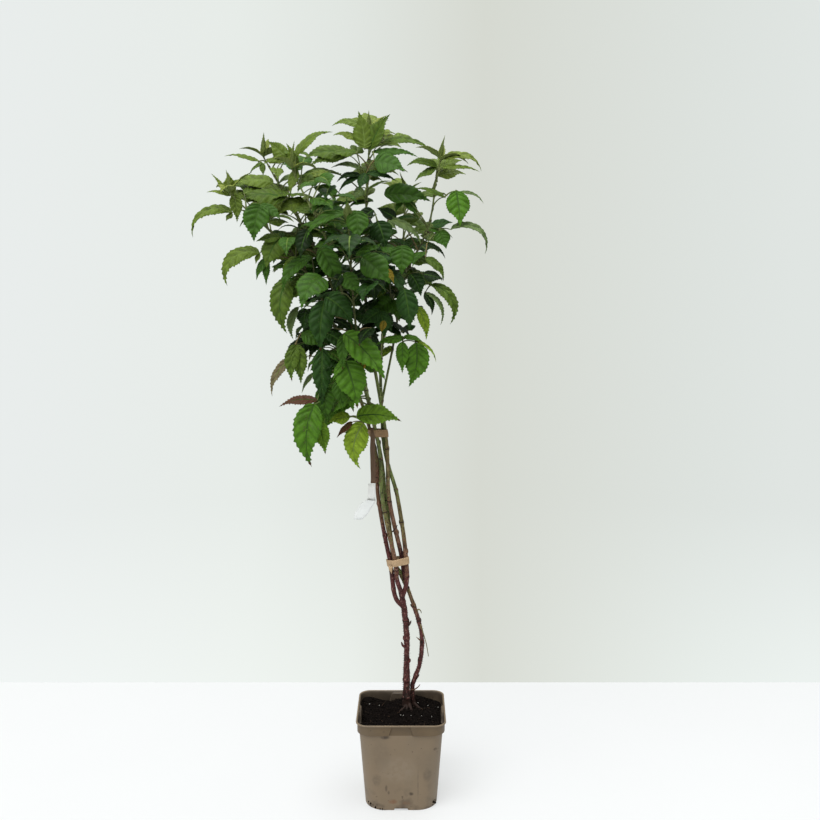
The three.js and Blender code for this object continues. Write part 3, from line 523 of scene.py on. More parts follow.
def grow_round(room, shoots, start, seed_step, phase_step, reach=1.0, tight=False, open_front=True):
    """All shoots grow together, one leaf each in turn, up to a share of their length"""
    reached = {shoot.name: shoot.first + start for shoot in shoots}
    growing = list(shoots)
    index = 0
    while growing:
        for shoot in growing:
            s = reached[shoot.name]
            share = s / shoot.path.length
            leaf = fit_leaf(room, shoot, shoot.path.at(s), share, index, shoot.seed + seed_step,
                            shoot.phase + phase_step, tight, open_front)
            if leaf:
                shoot.leaves.append(leaf)
            reached[shoot.name] = s + mix(*LEAF["gaps"], share)
        index += 1
        growing = [shoot for shoot in growing if reached[shoot.name] < reach * shoot.path.length - 12]


def keep_blades(shoot, kept):
    """Drops the grown leaflets that aren't kept, and leaves that have none left"""
    for leaf in shoot.leaves:
        leaf.blades = [blade for blade in leaf.blades if leaf.young or kept(blade)]
    shoot.leaves = [leaf for leaf in shoot.leaves if leaf.blades]
    for leaf in shoot.leaves:
        end_stalk(leaf)


def fill_room(shoots, bough_paths):
    """Grows every leaf of the rule, from the tips and the outside to the inside"""
    room = Room()
    for path in bough_paths:
        room.claim(path.spaced(4), 1)
    for shoot in shoots:
        room.claim(shoot.path.spaced(4), shoot.stem_mark)
    for shoot in shoots:
        leaf = tip_spray(shoot.path, shoot.seed)
        room.claim(np.concatenate([blade.sheet() for blade in leaf.blades]), shoot.mark)
        shoot.leaves = [leaf]
    grow_round(room, shoots, 0, 0, 0, open_front=False)
    grow_round(room, shoots, 0.5 * LEAF["gaps"][0], 1000, 0.5 * GOLDEN_ANGLE + 180)
    for seed_step, start, phase_step in INNER_ROUNDS:
        grow_round(room, shoots, start * LEAF["gaps"][0], seed_step, phase_step, INNER_REACH, True)


def grow_crown(shoots, bough_paths):
    """Grows the crown by the rule, and puts the measured leaves in front of it"""
    fill_room(shoots, bough_paths)
    for shoot in shoots:
        raise_top(shoot)
        for leaf in shoot.leaves:
            for blade in leaf.blades:
                if not leaf.young:
                    face_light(blade)
        keep_blades(shoot, lambda blade: outside(blade.sheet()) < OUTSIDE["kept"])
    hidden = Screen()
    for shoot in shoots:
        for joint, shade, *leaflets in SEEN_LEAVES.get(shoot.name, ()):
            shoot.seen.append(seen_leaf(shoot, joint, leaflets, shade))
            for blade in shoot.seen[-1].blades:
                hidden.cover(blade)
    for shoot in shoots:
        keep_blades(shoot, lambda blade: not hidden.by(blade))
        shoot.leaves += shoot.seen


def end_stalk(leaf):
    """A stalk ends at the farthest of its leaflets"""
    ends = [np.argmin(np.linalg.norm(leaf.stalk - blade.start, axis=1)) for blade in leaf.blades]
    leaf.stalk = leaf.stalk[:max(ends) + 1]


def seen(points):
    """Where points show from the front, on the plane through the middle of the pot"""
    scale = -EYE[1] / (points[:, 1] - EYE[1])
    return EYE[0] + (points[:, 0] - EYE[0]) * scale, EYE[2] + (points[:, 2] - EYE[2]) * scale


def at_depth(x, z, y):
    """The point at a depth that shows at x and z from the front"""
    scale = (y - EYE[1]) / -EYE[1]
    return np.array([EYE[0] + (x - EYE[0]) * scale, y, EYE[2] + (z - EYE[2]) * scale])


def outside(points):
    """Share of the points that show beyond the edges of the crown or in its gaps; all, past its back"""
    if points[:, 1].max() > BACK_EDGE:
        return 1.0
    x, z = seen(points)
    left, right = (np.interp(z, EDGES[:, 0], EDGES[:, k]) for k in (1, 2))
    gaps = ((x[:, None] - SKY[:, 0]) / SKY[:, 2]) ** 2 + ((z[:, None] - SKY[:, 1]) / SKY[:, 3]) ** 2 < 1
    return float(((x < left) | (x > right) | gaps.any(1)).mean())


class Screen:
    """The leaves that show from the front, and how far back they are"""

    def __init__(self):
        self.depth = np.full(SCREEN["cells"], -1e9)

    def cells(self, points):
        x, z = seen(points)
        column = ((x - SCREEN["left"]) / SCREEN["cell"]).astype(int)
        row = ((z - SCREEN["foot"]) / SCREEN["cell"]).astype(int)
        return column, row

    def cover(self, blade):
        points = blade.sheet()
        np.maximum.at(self.depth, self.cells(points), points[:, 1])

    def by(self, blade):
        """Whether a blade would hide much of these leaves"""
        points = blade.sheet()
        before = self.depth[self.cells(points)] > points[:, 1] - SCREEN["near"]
        return before.mean() > SCREEN["share"]


def raise_top(shoot):
    """Moves a shoot and its leaves the way the shoot stands in the crown"""
    lifts = LIFTS.get(shoot.name, ((0, 0), (0, 0)))
    tip, middle = (np.array([aside, 0, up]) for aside, up in lifts)
    shares = (shoot.path.lengths / shoot.path.length)[:, None]
    shifts = tip * shares ** 2 + middle * np.sin(np.pi * shares ** 1.7) ** 2
    for leaf in shoot.leaves:
        near = np.argmin(np.linalg.norm(shoot.path.points - leaf.stalk[0], axis=1))
        leaf.stalk = leaf.stalk + shifts[near]
        for blade in leaf.blades:
            blade.start = blade.start + shifts[near]
    shoot.path = Path(shoot.path.points + shifts)


def seen_leaf(shoot, joint, leaflets, shade):
    """A leaf measured from the front: where its stalk ends, and each leaflet's tip, with how far it comes
    forward, how much it arches, how far it faces the front, and its width"""
    x, z, y, *foot_height = joint
    end = at_depth(x, z, y)
    gaps = np.linalg.norm(shoot.path.points - end, axis=1)
    near = np.argmin(gaps)
    foot = shoot.path.at(shoot.path.lengths[near] - STALK_DROP * gaps[near])
    others = [other.stalk[-1] for other in shoot.seen]
    if foot_height:
        foot = shoot.path.at(shoot.path.from_height(foot_height[0]))
    elif others and np.linalg.norm(others[-1] - end) < min(SHARED_STALK, gaps[near]):
        foot = others[-1]
    return Leaf(arched(foot, end), [seen_blade(end, *row) for row in leaflets], shade)


def arched(base, end):
    """A stalk that rises a little above the straight line"""
    share = np.linspace(0, 1, 6)[:, None]
    up = np.array([0, 0, 0.12 * np.linalg.norm(end - base)])
    return base + (end - base) * share + up * 4 * share * (1 - share)


def seen_blade(base, x, z, forward, arch, face, width):
    """A leaflet from the joint to the tip that shows, turned part of the way to the light"""
    tip = at_depth(x, z, base[1] - forward)
    chord = tip - base
    span = np.linalg.norm(chord)
    bend = rad(arch)
    azimuth = math.atan2(chord[1], chord[0])
    elevation = math.asin(chord[2] / span) + ARCH_START * bend
    length = span * (bend / 2) / math.sin(bend / 2)
    blade = Blade(base, azimuth, elevation, bend, length, width * length, 0)
    _, (level,), (normal,) = blade.frame(np.array([0.4]))
    blade.roll = face * math.atan2(-FRONT_LIGHT @ level, FRONT_LIGHT @ normal)
    return blade


def face_light(blade):
    """A blade leans and turns part of the way to the light, which comes from the front"""
    ahead = -math.sin(blade.azimuth)
    middle = blade.elevation - 0.5 * blade.droop
    wanted = rad(LIGHT["level"] - LIGHT["lean"] * ahead)
    blade.elevation += LIGHT["follow"] * abs(ahead) * (wanted - middle)
    blade.roll += rad(LIGHT["turn"]) * math.cos(blade.azimuth)


def slot_point(tie, slot):
    (x, y, z), (wide, deep) = tie["at"], tie["spread"]
    return (x + wide * math.cos(rad(slot)), y + deep * math.sin(rad(slot)), z)


def cane_path(cane):
    lower = slot_point(TIES["tie_lower"], cane["slots"][0])
    upper = slot_point(TIES["tie_upper"], cane["slots"][1])
    bow = (*cane["bow"], BOW_HEIGHT)
    whole = through([cane["start"], lower, bow, upper, cane["crown"], cane["tip"]], 60)
    if "elbow" not in cane:
        return Path(whole)
    foot = through([cane["start"], cane["elbow"], lower, bow], 18)
    return Path(np.concatenate([foot[:12], whole[12:]]))


def taper(foot, head, length, start=0.0):
    """The radius by distance along a limb that narrows evenly"""
    def radius_at(s):
        return mix(foot, head, (s + start) / length)
    return radius_at


def grow_plant():
    """The boughs, and the leafy shoots that go on from them"""
    boughs = {}
    shoots = []
    for order, (name, cane) in enumerate(CANES.items()):
        whole = cane_path(cane)
        end = whole.from_height(cane["split"])
        boughs[name] = dict(whole=whole, path=whole.part(0, end),
                            radius_at=taper(*CANE_RADIUS, whole.length))
        path = whole.part(end + GAP, whole.length)
        shoots.append(Shoot(name, path, taper(*CANE_RADIUS, whole.length, end), cane, order))
    for order, (name, side) in enumerate(SIDE_SHOOTS.items(), len(CANES)):
        whole = boughs[side["of"]]["whole"]
        base = whole.at(whole.from_height(side["start"]))
        path = Path(through([base, side["crown"], side["tip"]], 24))
        shoots.append(Shoot(name, path, taper(*SHOOT_RADIUS, path.length), side, order))
    grow_crown(shoots, [bough["path"] for bough in boughs.values()])
    return boughs, shoots


# Materials

def linear(red, green, blue):
    """Scene colour of a screen colour from 0 to 255"""
    colour = (red, green, blue)
    return tuple(c / 255 / 12.92 if c < 11 else ((c / 255 + 0.055) / 1.055) ** 2.4 for c in colour)


def scaled(colour, factor=1):
    """A colour with its alpha, lighter or darker"""
    return (*[min(1, c * factor) for c in colour], 1)


def add_ramp(tree, value, stops):
    """A node that turns a value into the colours of its stops"""
    node = tree.nodes.new("ShaderNodeValToRGB")
    elements = node.color_ramp.elements
    for k, (position, colour) in enumerate(stops):
        element = elements[k] if k < 2 else elements.new(position)
        element.position = position
        element.color = colour
    tree.links.new(value, node.inputs["Fac"])
    return node.outputs["Color"]


# Sockets of a mix node that take two colours and give the mixed one
MIX = dict(a=6, b=7, result=2)


class Finish:
    """A material: two shades mixed by noise, and a bump of its own scale"""

    def __init__(self, name, colour, rough, spread=0.15, grain=300, bump=0.3, depth=0.0003, specular=0.4):
        self.material = bpy.data.materials.new(name)
        self.material.use_nodes = True
        self.tree = self.material.node_tree
        self.nodes = self.tree.nodes
        self.shader = self.nodes["Principled BSDF"]
        self.shader.inputs["Roughness"].default_value = rough
        self.shader.inputs["Specular IOR Level"].default_value = specular
        self.place = self.add("ShaderNodeTexCoord").outputs["Object"]
        noise = self.noise(grain)
        base = linear(*colour)
        stops = [(0.3, scaled(base, 1 - spread)), (0.7, scaled(base, 1 + spread))]
        self.colour = add_ramp(self.tree, noise, stops)
        self.link(self.colour, self.shader.inputs["Base Color"])
        self.bump(noise, bump, depth)

    def add(self, kind, **values):
        node = self.nodes.new(kind)
        for key, value in values.items():
            node.inputs[key].default_value = value
        return node

    def link(self, a, b):
        self.tree.links.new(a, b)

    def noise(self, scale, detail=4.0, stretch=None):
        node = self.add("ShaderNodeTexNoise", Scale=scale, Detail=detail)
        if stretch:
            mapping = self.add("ShaderNodeMapping", Scale=stretch)
            self.link(self.place, mapping.inputs["Vector"])
            self.link(mapping.outputs["Vector"], node.inputs["Vector"])
        else:
            self.link(self.place, node.inputs["Vector"])
        return node.outputs["Fac"]

    def mask(self, value, first, last, strength=1.0, foot=0.0):
        """Grey that goes from foot to strength between two values"""
        stops = [(first, scaled((foot, foot, foot))), (last, scaled((strength, strength, strength)))]
        return add_ramp(self.tree, value, stops)

    def stain(self, mask, colour):
        """Lays a colour over the base where the mask is white"""
        node = self.nodes.new("ShaderNodeMix")
        node.data_type = "RGBA"
        self.link(mask, node.inputs["Factor"])
        self.link(self.colour, node.inputs[MIX["a"]])
        node.inputs[MIX["b"]].default_value = scaled(linear(*colour))
        self.colour = node.outputs[MIX["result"]]
        self.link(self.colour, self.shader.inputs["Base Color"])

    def bump(self, value, strength, depth):
        node = self.add("ShaderNodeBump", Strength=strength, Distance=depth)
        self.link(value, node.inputs["Height"])
        self.link(node.outputs["Normal"], self.shader.inputs["Normal"])

    def times(self, a, b):
        node = self.nodes.new("ShaderNodeMath")
        node.operation = "MULTIPLY"
        self.link(a, node.inputs[0])
        self.link(b, node.inputs[1])
        return node.outputs[0]


# Upper sides of leaves from the inside of the crown to its fresh top, then the low leaves; the dark
# shades inside are partly the leaves' own deeper green and partly painted shade
LEAF_SHADES = dict(shade=(22, 40, 12), deep=(30, 56, 16), blue=(40, 70, 26), mid=(56, 90, 25),
                   olive=(77, 99, 33), fresh=(94, 114, 42), light=(107, 124, 50), young=(120, 132, 58),
                   vivid=(72, 112, 28), grass=(98, 134, 36), lime=(122, 149, 40), yellow=(134, 116, 36),
                   bronze=(92, 62, 46), scorch=(80, 50, 30), pale=(98, 118, 70), taupe=(112, 103, 74))
UNDER_SHADES = dict(under=(80, 96, 50), under_fresh=(110, 124, 68), under_bronze=(118, 98, 78))
RIB_SHADES = dict(rib=(104, 124, 60), rib_dark=(58, 86, 34))
# How dark the faces that slope into the side veins are beside the rest of the blade: painted shade
GROOVE_SHADE = 0.89
# The darker green for limbs inside the crown is painted shade
LIMB_SHADES = dict(maroon=(86, 46, 44), brown=(113, 82, 62), olive_bark=(113, 102, 65), green=(107, 118, 66),
                   painted_shade_green=(74, 80, 42), foot=(50, 35, 29), fleck=(128, 92, 84), scar=(50, 34, 28),
                   prickle=(66, 34, 31))
LEAF_LOOK = dict(rough=0.46, spread=0.26, grain=120, bump=0.5, depth=0.0008, specular=0.11)
UNDER_LOOK = dict(rough=0.7, spread=0.08, grain=500, bump=0.2, depth=0.0002, specular=0.08)
LIMB_LOOK = dict(rough=0.62, spread=0.4, grain=600, bump=0.6, depth=0.0005, specular=0.2)


def leaf_finishes():
    """Upper sides, the same darker as painted shade along the side veins, then under sides and ribs"""
    groove_shades = {f"{name}_groove": tuple(GROOVE_SHADE * c for c in colour) for name, colour in LEAF_SHADES.items()}
    upper = {**LEAF_SHADES, **groove_shades}
    under = {**UNDER_SHADES, **RIB_SHADES}
    made = [Finish(f"leaf_{name}", colour, **LEAF_LOOK) for name, colour in upper.items()]
    made += [Finish(f"leaf_{name}", colour, **UNDER_LOOK) for name, colour in under.items()]
    return [finish.material for finish in made]


def limb_finishes():
    """Bark with dark streaks along it and pale flecks"""
    made = []
    for name, colour in LIMB_SHADES.items():
        finish = Finish(f"limb_{name}", colour, **LIMB_LOOK)
        streaks = finish.mask(finish.noise(170, stretch=(1, 1, 0.3)), 0.48, 0.66, 0.7)
        finish.stain(streaks, tuple(0.5 * c + 6 for c in colour))
        flecks = finish.mask(finish.noise(290, stretch=(1, 1, 0.4)), 0.56, 0.7, 0.6)
        finish.stain(flecks, tuple(1.12 * c + 30 for c in colour))
        made.append(finish.material)
    return made


# Meshes

class Gather:
    """Collects points and faces, then joins them into one piece"""

    def __init__(self):
        self.points = []
        self.faces = []
        self.tints = []
        self.count = 0

    def add(self, points, *parts):
        """Each part is its faces, by index into the points, and their tint or tints"""
        points = np.asarray(points, float).reshape(-1, 3)
        for faces, tint in parts:
            self.faces.append(faces + self.count)
            self.tints.append(np.broadcast_to(tint, len(faces)))
        self.points.append(points)
        self.count += len(points)

    def make(self, name, materials, slot, replaces=(), crease=None):
        mesh = bpy.data.meshes.new(name)
        points = np.concatenate(self.points) / 1000
        corners = np.concatenate([faces.ravel() for faces in self.faces])
        sizes = np.concatenate([np.full(len(faces), faces.shape[1]) for faces in self.faces])
        mesh.vertices.add(len(points))
        mesh.vertices.foreach_set("co", points.ravel())
        mesh.loops.add(len(corners))
        mesh.loops.foreach_set("vertex_index", corners)
        mesh.polygons.add(len(sizes))
        mesh.polygons.foreach_set("loop_start", np.concatenate([[0], np.cumsum(sizes)[:-1]]))
        mesh.polygons.foreach_set("material_index", np.concatenate(self.tints).astype(int))
        for material in materials:
            mesh.materials.append(material)
        mesh.update(calc_edges=True)
        mesh.shade_smooth()
        if crease:
            mesh.set_sharp_from_angle(angle=rad(crease))
        piece = bpy.data.objects.new(name, mesh)
        bpy.context.scene.collection.objects.link(piece)
        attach(piece, "root")
        if replaces:
            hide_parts(*replaces)


def lattice(rows, columns, wrap=False):
    """Quads between the points of a grid"""
    last = columns if wrap else columns - 1
    k, j = np.meshgrid(np.arange(rows - 1), np.arange(last), indexing="ij")
    n = (j + 1) % columns
    quads = [k * columns + j, k * columns + n, (k + 1) * columns + n, (k + 1) * columns + j]
    return np.stack(quads, -1).reshape(-1, 4)


def shell_faces(rows, columns):
    """Faces of a thin body made of two equal grids: one side, the other side and the rim between"""
    quads = lattice(rows, columns)
    index = np.arange(rows * columns).reshape(rows, columns)
    loop = np.concatenate([index[0], index[1:, -1], index[-1, -2::-1], index[-2:0:-1, 0]])
    after = np.roll(loop, -1)
    below = rows * columns
    rim = np.stack([loop, after, after + below, loop + below], -1)
    return quads[:, ::-1], quads + below, rim


def rings_round(points, radii, sides):
    """Rings round a line, their radii by ring or by ring and side"""
    points = np.asarray(points, float)
    tangents = unit(np.gradient(points, axis=0))
    across = np.empty_like(points)
    held = np.array([1.0, 0, 0]) if abs(tangents[0][0]) < 0.9 else np.array([0, 1.0, 0])
    for k, tangent in enumerate(tangents):
        held = held - tangent * (held @ tangent)
        held = held / np.linalg.norm(held)
        across[k] = held
    along = np.cross(tangents, across)
    angles = 2 * np.pi * np.arange(sides) / sides
    radii = np.asarray(radii, float)
    radii = radii[:, None] if radii.ndim == 1 else radii
    around = across[:, None] * np.cos(angles)[:, None] + along[:, None] * np.sin(angles)[:, None]
    return points[:, None] + radii[..., None] * around


def add_tube(gather, rings, tint):
    """A closed body from rings; tints may be given by ring and side"""
    count, sides = rings.shape[:2]
    points = [*rings.reshape(-1, 3), rings[0].mean(0), rings[-1].mean(0)]
    j = np.arange(sides)
    n = (j + 1) % sides
    foot = np.stack([np.full(sides, count * sides), n, j], -1)
    last = (count - 1) * sides
    head = np.stack([np.full(sides, count * sides + 1), last + j, last + n], -1)
    tints = np.broadcast_to(tint, (count, sides))
    sleeve = lattice(count, sides, True)
    gather.add(points, (sleeve, tints[:-1].ravel()), (foot, tints[0]), (head, tints[-1]))


# Leaflets: the columns of the grid follow the side veins, the rows run from margin to margin

VEINS = dict(pairs=7, steps=4, sweep=0.24, across=(0, 0.07, 0.36, 0.68, 0.9, 1))
# How far the margin stands out, goes forward and how far the blade rises, by step from vein to vein
TOOTH_OUT = (0.021, -0.005, 0.01, -0.01)
TOOTH_FORWARD = (0.02, -0.004, 0.008, 0.004)
QUILT = 0.019
# Share of the rise at each place across the half blade
QUILT_ACROSS = (0, 0.3, 1, 1, 0.6, 0.15)
BLADE_THICK = 0.35
RIB_THICK = 0.5
# How much narrower the blade becomes towards its tip
TAIL = 0.5


def vein_grid():
    """Places on a leaflet along its midrib and across it, with teeth and with a rise between veins"""
    columns = np.arange(VEINS["pairs"] * VEINS["steps"] + 1)
    margin = np.clip(columns / columns[-1], 0.004, 0.996)
    base = np.linspace(0, 1, 400)
    reach = base + VEINS["sweep"] * (1 - np.exp(-base / 0.06)) * (1 - base) ** 0.8
    foot = np.interp(margin, reach, base)
    half = np.array(VEINS["across"])
    signed = np.concatenate([-half[:0:-1], half])
    b = np.abs(signed)
    t = foot[:, None] + (margin - foot)[:, None] * b ** 1.15
    tail = 1 - TAIL * np.clip((margin - 0.55) / 0.3, 0, 1)
    x = signed * (outline(margin) * tail)[:, None]
    phase = columns % VEINS["steps"]
    from_ends = np.minimum(margin, 1 - margin)
    fade = np.clip(10 * from_ends, 0, 1)
    at_edge = (b == 1)
    tooth = np.sign(signed) * at_edge * (np.array(TOOTH_OUT)[phase] * fade)[:, None]
    t = t + at_edge * (np.array(TOOTH_FORWARD)[phase] * fade)[:, None]
    rise = np.interp(b, half, QUILT_ACROSS)
    waves = QUILT * (-np.cos(np.pi * phase / 2) * np.clip(6 * from_ends, 0, 1))
    return dict(t=np.clip(t, 0, 0.999), x=x, tooth=tooth, quilt=waves[:, None] * rise,
                b=np.broadcast_to(b, t.shape), signed=np.broadcast_to(signed, t.shape))


GRID = vein_grid()
TOP_QUADS, UNDER_QUADS, RIM_QUADS = shell_faces(*GRID["t"].shape)
# Places of the faces across the half blade, along it and on its two sides
FACE_B = GRID["b"].ravel()[TOP_QUADS].mean(1)
FACE_T = GRID["t"].ravel()[TOP_QUADS].mean(1)
FACE_SIDE = GRID["signed"].ravel()[TOP_QUADS].mean(1)
MIDRIB_FACES = FACE_B < 0.06
FACE_STEP = np.arange(len(TOP_QUADS)) // (GRID["t"].shape[1] - 1) % VEINS["steps"]
# Faces that slope into each side vein take the darker copy of the upper side: painted shade
GROOVE_SHADE_FACES = (FACE_STEP == VEINS["steps"] - 1) & (FACE_B < 0.85)


def blade_points(blade, r, young):
    """Upper and under side of a leaflet: a fold at the midrib, margins that curl and wave, veins sunk in"""
    fold = 0.2 + 0.45 * r[0] + (0.4 if young else 0)
    curl = 0.3 + 0.35 * r[1]
    t, x = GRID["t"], GRID["x"]
    point, side, up = blade.frame(t, 48, hook=rad(34) * (r[2] - 0.5), twist=rad(50) * (r[3] - 0.5))
    reach = np.abs(x)
    wave = 0.07 * (0.4 + r[4]) * reach ** 2 * np.sin(2 * np.pi * (2.6 * t + r[5]) + (x > 0) * 2.4)
    height = blade.width * (fold * reach - curl * reach ** 2.2 + wave) + blade.length * GRID["quilt"]
    across = x * blade.width + GRID["tooth"] * blade.length
    top = point + side * across[..., None] + up * height[..., None]
    thick = BLADE_THICK + RIB_THICK * (GRID["b"] < 0.01) * (1 - t)
    under = top - up * thick[..., None]
    return np.concatenate([top.reshape(-1, 3), under.reshape(-1, 3)])


def blade_tints(top, under, rib, r, low):
    """Many low leaves have scorched tips, and some a scorched margin"""
    tints = np.full(len(TOP_QUADS), top)
    # Slopes into the side veins take the darker copy of the upper side: painted shade
    tints[GROOVE_SHADE_FACES] += len(LEAF_SHADES)
    tints[MIDRIB_FACES & (FACE_T < 0.92)] = rib
    if low and r[9] < 0.6:
        tints[FACE_T > 0.93 - 0.06 * r[9]] = SHADE["scorch"]
        if r[8] < 0.2:
            hand = 1 if r[6] > 0.5 else -1
            tints[(FACE_B > 0.9) & (FACE_SIDE * hand > 0) & (FACE_T > 0.5)] = SHADE["scorch"]
    unders = np.full(len(TOP_QUADS), under)
    unders[MIDRIB_FACES] = SHADE["rib"]
    return tints, unders


LEAF_NAMES = [*LEAF_SHADES, *[f"{name}_groove" for name in LEAF_SHADES], *UNDER_SHADES, *RIB_SHADES]
SHADE = {name: k for k, name in enumerate(LEAF_NAMES)}
LIMB = {name: k for k, name in enumerate(LIMB_SHADES)}
# Heights between which the crown goes from low leaves to fresh ones, and how far out its shades go
CROWN_FOOT = 560
CROWN_TOP = 1010
CROWN_REACH = 170
# Middle of the crown at those heights
AXIS_FOOT = np.array([-34, 5])
AXIS_TOP = np.array([-75, 0])
# The darker shades inside the crown are partly painted shade
SCALE_OUT = ["shade", "deep", "blue", "mid", "olive", "fresh", "light"]
SCALE_LOW = ["deep", "mid", "vivid", "vivid", "lime"]
PALE = ("fresh", "light", "pale", "lime", "taupe")
# Below the first height leaves take the low scale, and above the second they are at their freshest
LOW_SHARE = 0.28
FRESH_SHARE = 0.75
LEAF_DRAWS = 4
BLADE_DRAWS = 12
# Leaves may be scorched below this height
SCORCH_BELOW = 740
# Heights between which the leaf stalks are dark: painted shade inside the crown
STALK_SHADE_HEIGHTS = (680, 850)
STALK_RADIUS = (1.15, 0.6)


def on_scale(scale, place):
    return scale[int(np.clip(place * len(scale), 0, len(scale) - 1))]


def leaf_shades(leaf, r):
    """Tints of one spray: fresher at the top and the outside of the crown, vivid low down, and darker
    inside it and in front of its middle, which is partly painted shade
    """
    if leaf.shade:
        under = "under_bronze" if leaf.shade in ("bronze", "taupe") else "under"
        return leaf.shade, under, "rib" if leaf.shade in PALE else "rib_dark"
    x, y, z = leaf.blades[0].frame(np.array([0.5]))[0][0]
    height = (z - CROWN_FOOT) / (CROWN_TOP - CROWN_FOOT)
    axis_x, axis_y = mix(AXIS_FOOT, AXIS_TOP, height)
    # Leaves in front of the middle count as nearer the inside, so they take darker shades: painted shade
    out = math.hypot(x - axis_x, max(y - axis_y, 0.3 * (axis_y - y))) / CROWN_REACH
    if leaf.young:
        return "young" if height > FRESH_SHARE else "mid", "under_fresh", "rib"
    if height < LOW_SHARE:
        return on_scale(SCALE_LOW, 0.3 + 0.55 * out + 0.5 * (r[0] - 0.5)), "under", "rib"
    top = on_scale(SCALE_OUT, 0.75 * height ** 1.4 + 0.3 * out - 0.1 + 0.3 * (r[0] - 0.5))
    return top, "under_fresh" if height > FRESH_SHARE else "under", "rib" if height > 0.6 else "rib_dark"


def add_leaf(leaves, twigs, leaf, seed, index):
    """The leaflets of one leaf, and its stalk; each leaflet has its own draws after the leaf's"""
    r = draws(seed, 3000 + index, LEAF_DRAWS + BLADE_DRAWS * len(leaf.blades))
    top, under, rib = (SHADE[name] for name in leaf_shades(leaf, r))
    foot_height = leaf.stalk[0][2]
    for k, blade in enumerate(leaf.blades):
        own = r[LEAF_DRAWS + BLADE_DRAWS * k:]
        points = blade_points(blade, own, leaf.young)
        tints, unders = blade_tints(top, under, rib, own, foot_height < SCORCH_BELOW)
        leaves.add(points, (TOP_QUADS, tints), (UNDER_QUADS, unders), (RIM_QUADS, top))
    if leaf.young:
        return
    line = through(leaf.stalk, 14)
    share = np.linspace(0, 1, len(line))
    radii = mix(*STALK_RADIUS, share) + 0.9 * np.exp(-share * 18)
    # Stalks inside the crown take the darker green of painted shade
    tint = "painted_shade_green" if STALK_SHADE_HEIGHTS[0] <= foot_height <= STALK_SHADE_HEIGHTS[1] else "green"
    if r[1] < 0.12:
        tint = "olive_bark"
    add_tube(twigs, rings_round(line, radii, 6), LIMB[tint])


# Limbs with bark relief, nodes, buds and prickles

# Waves of the bark: height, turns along the limb and turns round it
BARK_WAVES = [(0.35, 0.11, 2), (0.3, 0.31, -3), (0.2, 0.73, 5), (0.15, 1.3, -4)]
NODE_LENGTH = 2.6
BUD_RADII = np.array([0.32, 0.42, 0.4, 0.3, 0.16, 0.03])
PRICKLE_FACES = np.array([[0, 1, 3], [1, 2, 3], [2, 0, 3], [0, 2, 1]])
RING_STEP = 1.8


def relief(distances, sides, nodes, seed, rough):
    """Share of the radius added by ridges and by the swelling at each node"""
    angles = 2 * np.pi * np.arange(sides) / sides
    s = distances[:, None]
    r = draws(seed, 41, len(BARK_WAVES))
    bark = sum(a * np.sin(f * s + m * angles + 6.28 * p) for (a, f, m), p in zip(BARK_WAVES, r))
    swell = 0
    for at, azimuth in nodes:
        facing = 0.14 + 0.34 * np.clip(np.cos(angles - azimuth), 0, 1) ** 2
        swell = swell + facing * np.exp(-((s - at) / NODE_LENGTH) ** 2)
    return rough * bark + swell


def node_places(length, first, gap, seed):
    """Distances and directions of the nodes along a limb"""
    places = []
    s = first
    while s < length - 10:
        r = draws(seed, 70 + len(places), 2)
        places.append((s, rad(seed * 40 + len(places) * GOLDEN_ANGLE + 30 * r[0])))
        s += gap * (0.8 + 0.4 * r[1])
    return places


def surface_frame(path, distance, azimuth, radius):
    """A point on the side of a limb, the way out there and the way along"""
    ahead = unit(path.at(distance + 1) - path.at(distance - 1))
    out = np.array([math.cos(azimuth), math.sin(azimuth), 0.0])
    out = unit(out - ahead * (out @ ahead))
    return path.at(distance) + out * radius, out, ahead


def add_bud(gather, path, distance, azimuth, radius, size, tint):
    point, out, ahead = surface_frame(path, distance, azimuth, radius * 0.9)
    line = [point + (0.45 * out * t + ahead * t * 1.1 - ahead * 0.4) * size for t in np.linspace(0, 1, 6)]
    add_tube(gather, rings_round(line, size * BUD_RADII, 7), tint)


def add_prickles(gather, path, radius_at, count, reach, length, seed, tint):
    """Fine three-sided prickles, denser towards the foot of the reach"""
    for k in range(count):
        r = draws(seed, 5000 + k, 5)
        distance = mix(*reach, r[0] ** 1.3)
        point, out, ahead = surface_frame(path, distance, 2 * np.pi * r[1], radius_at(distance) * 0.96)
        size = length * (0.6 + 0.7 * r[2])
        beside = np.cross(out, ahead)
        foot = [point + 0.34 * (math.cos(a) * ahead + math.sin(a) * beside) for a in (0, 2.1, 4.2)]
        tip = point + out * size - ahead * size * 0.35 * r[3]
        gather.add([*foot, tip], (PRICKLE_FACES, tint))


def limb_tints(points, sides, nodes, distances, seed, shades, spotted):
    """Patches of each shade below its height, ringed at every other node, with dark and pale spots"""
    patches = np.random.default_rng(seed).random((len(points), sides))
    heights = points[:, 2:] + 34 * (patches - 0.5)
    tints = np.full(patches.shape, LIMB[shades[-1][1]])
    for top, name in reversed(shades[:-1]):
        tints[heights < top] = LIMB[name]
    for at, _ in nodes[::2]:
        tints[np.argmin(np.abs(distances - at))] = LIMB["scar"]
    spots = np.random.default_rng(seed + 1).random(patches.shape)
    tints[spots < spotted] = LIMB["scar"]
    tints[(spots > 1 - spotted) & (tints != LIMB["foot"])] = LIMB["fleck"]
    return tints


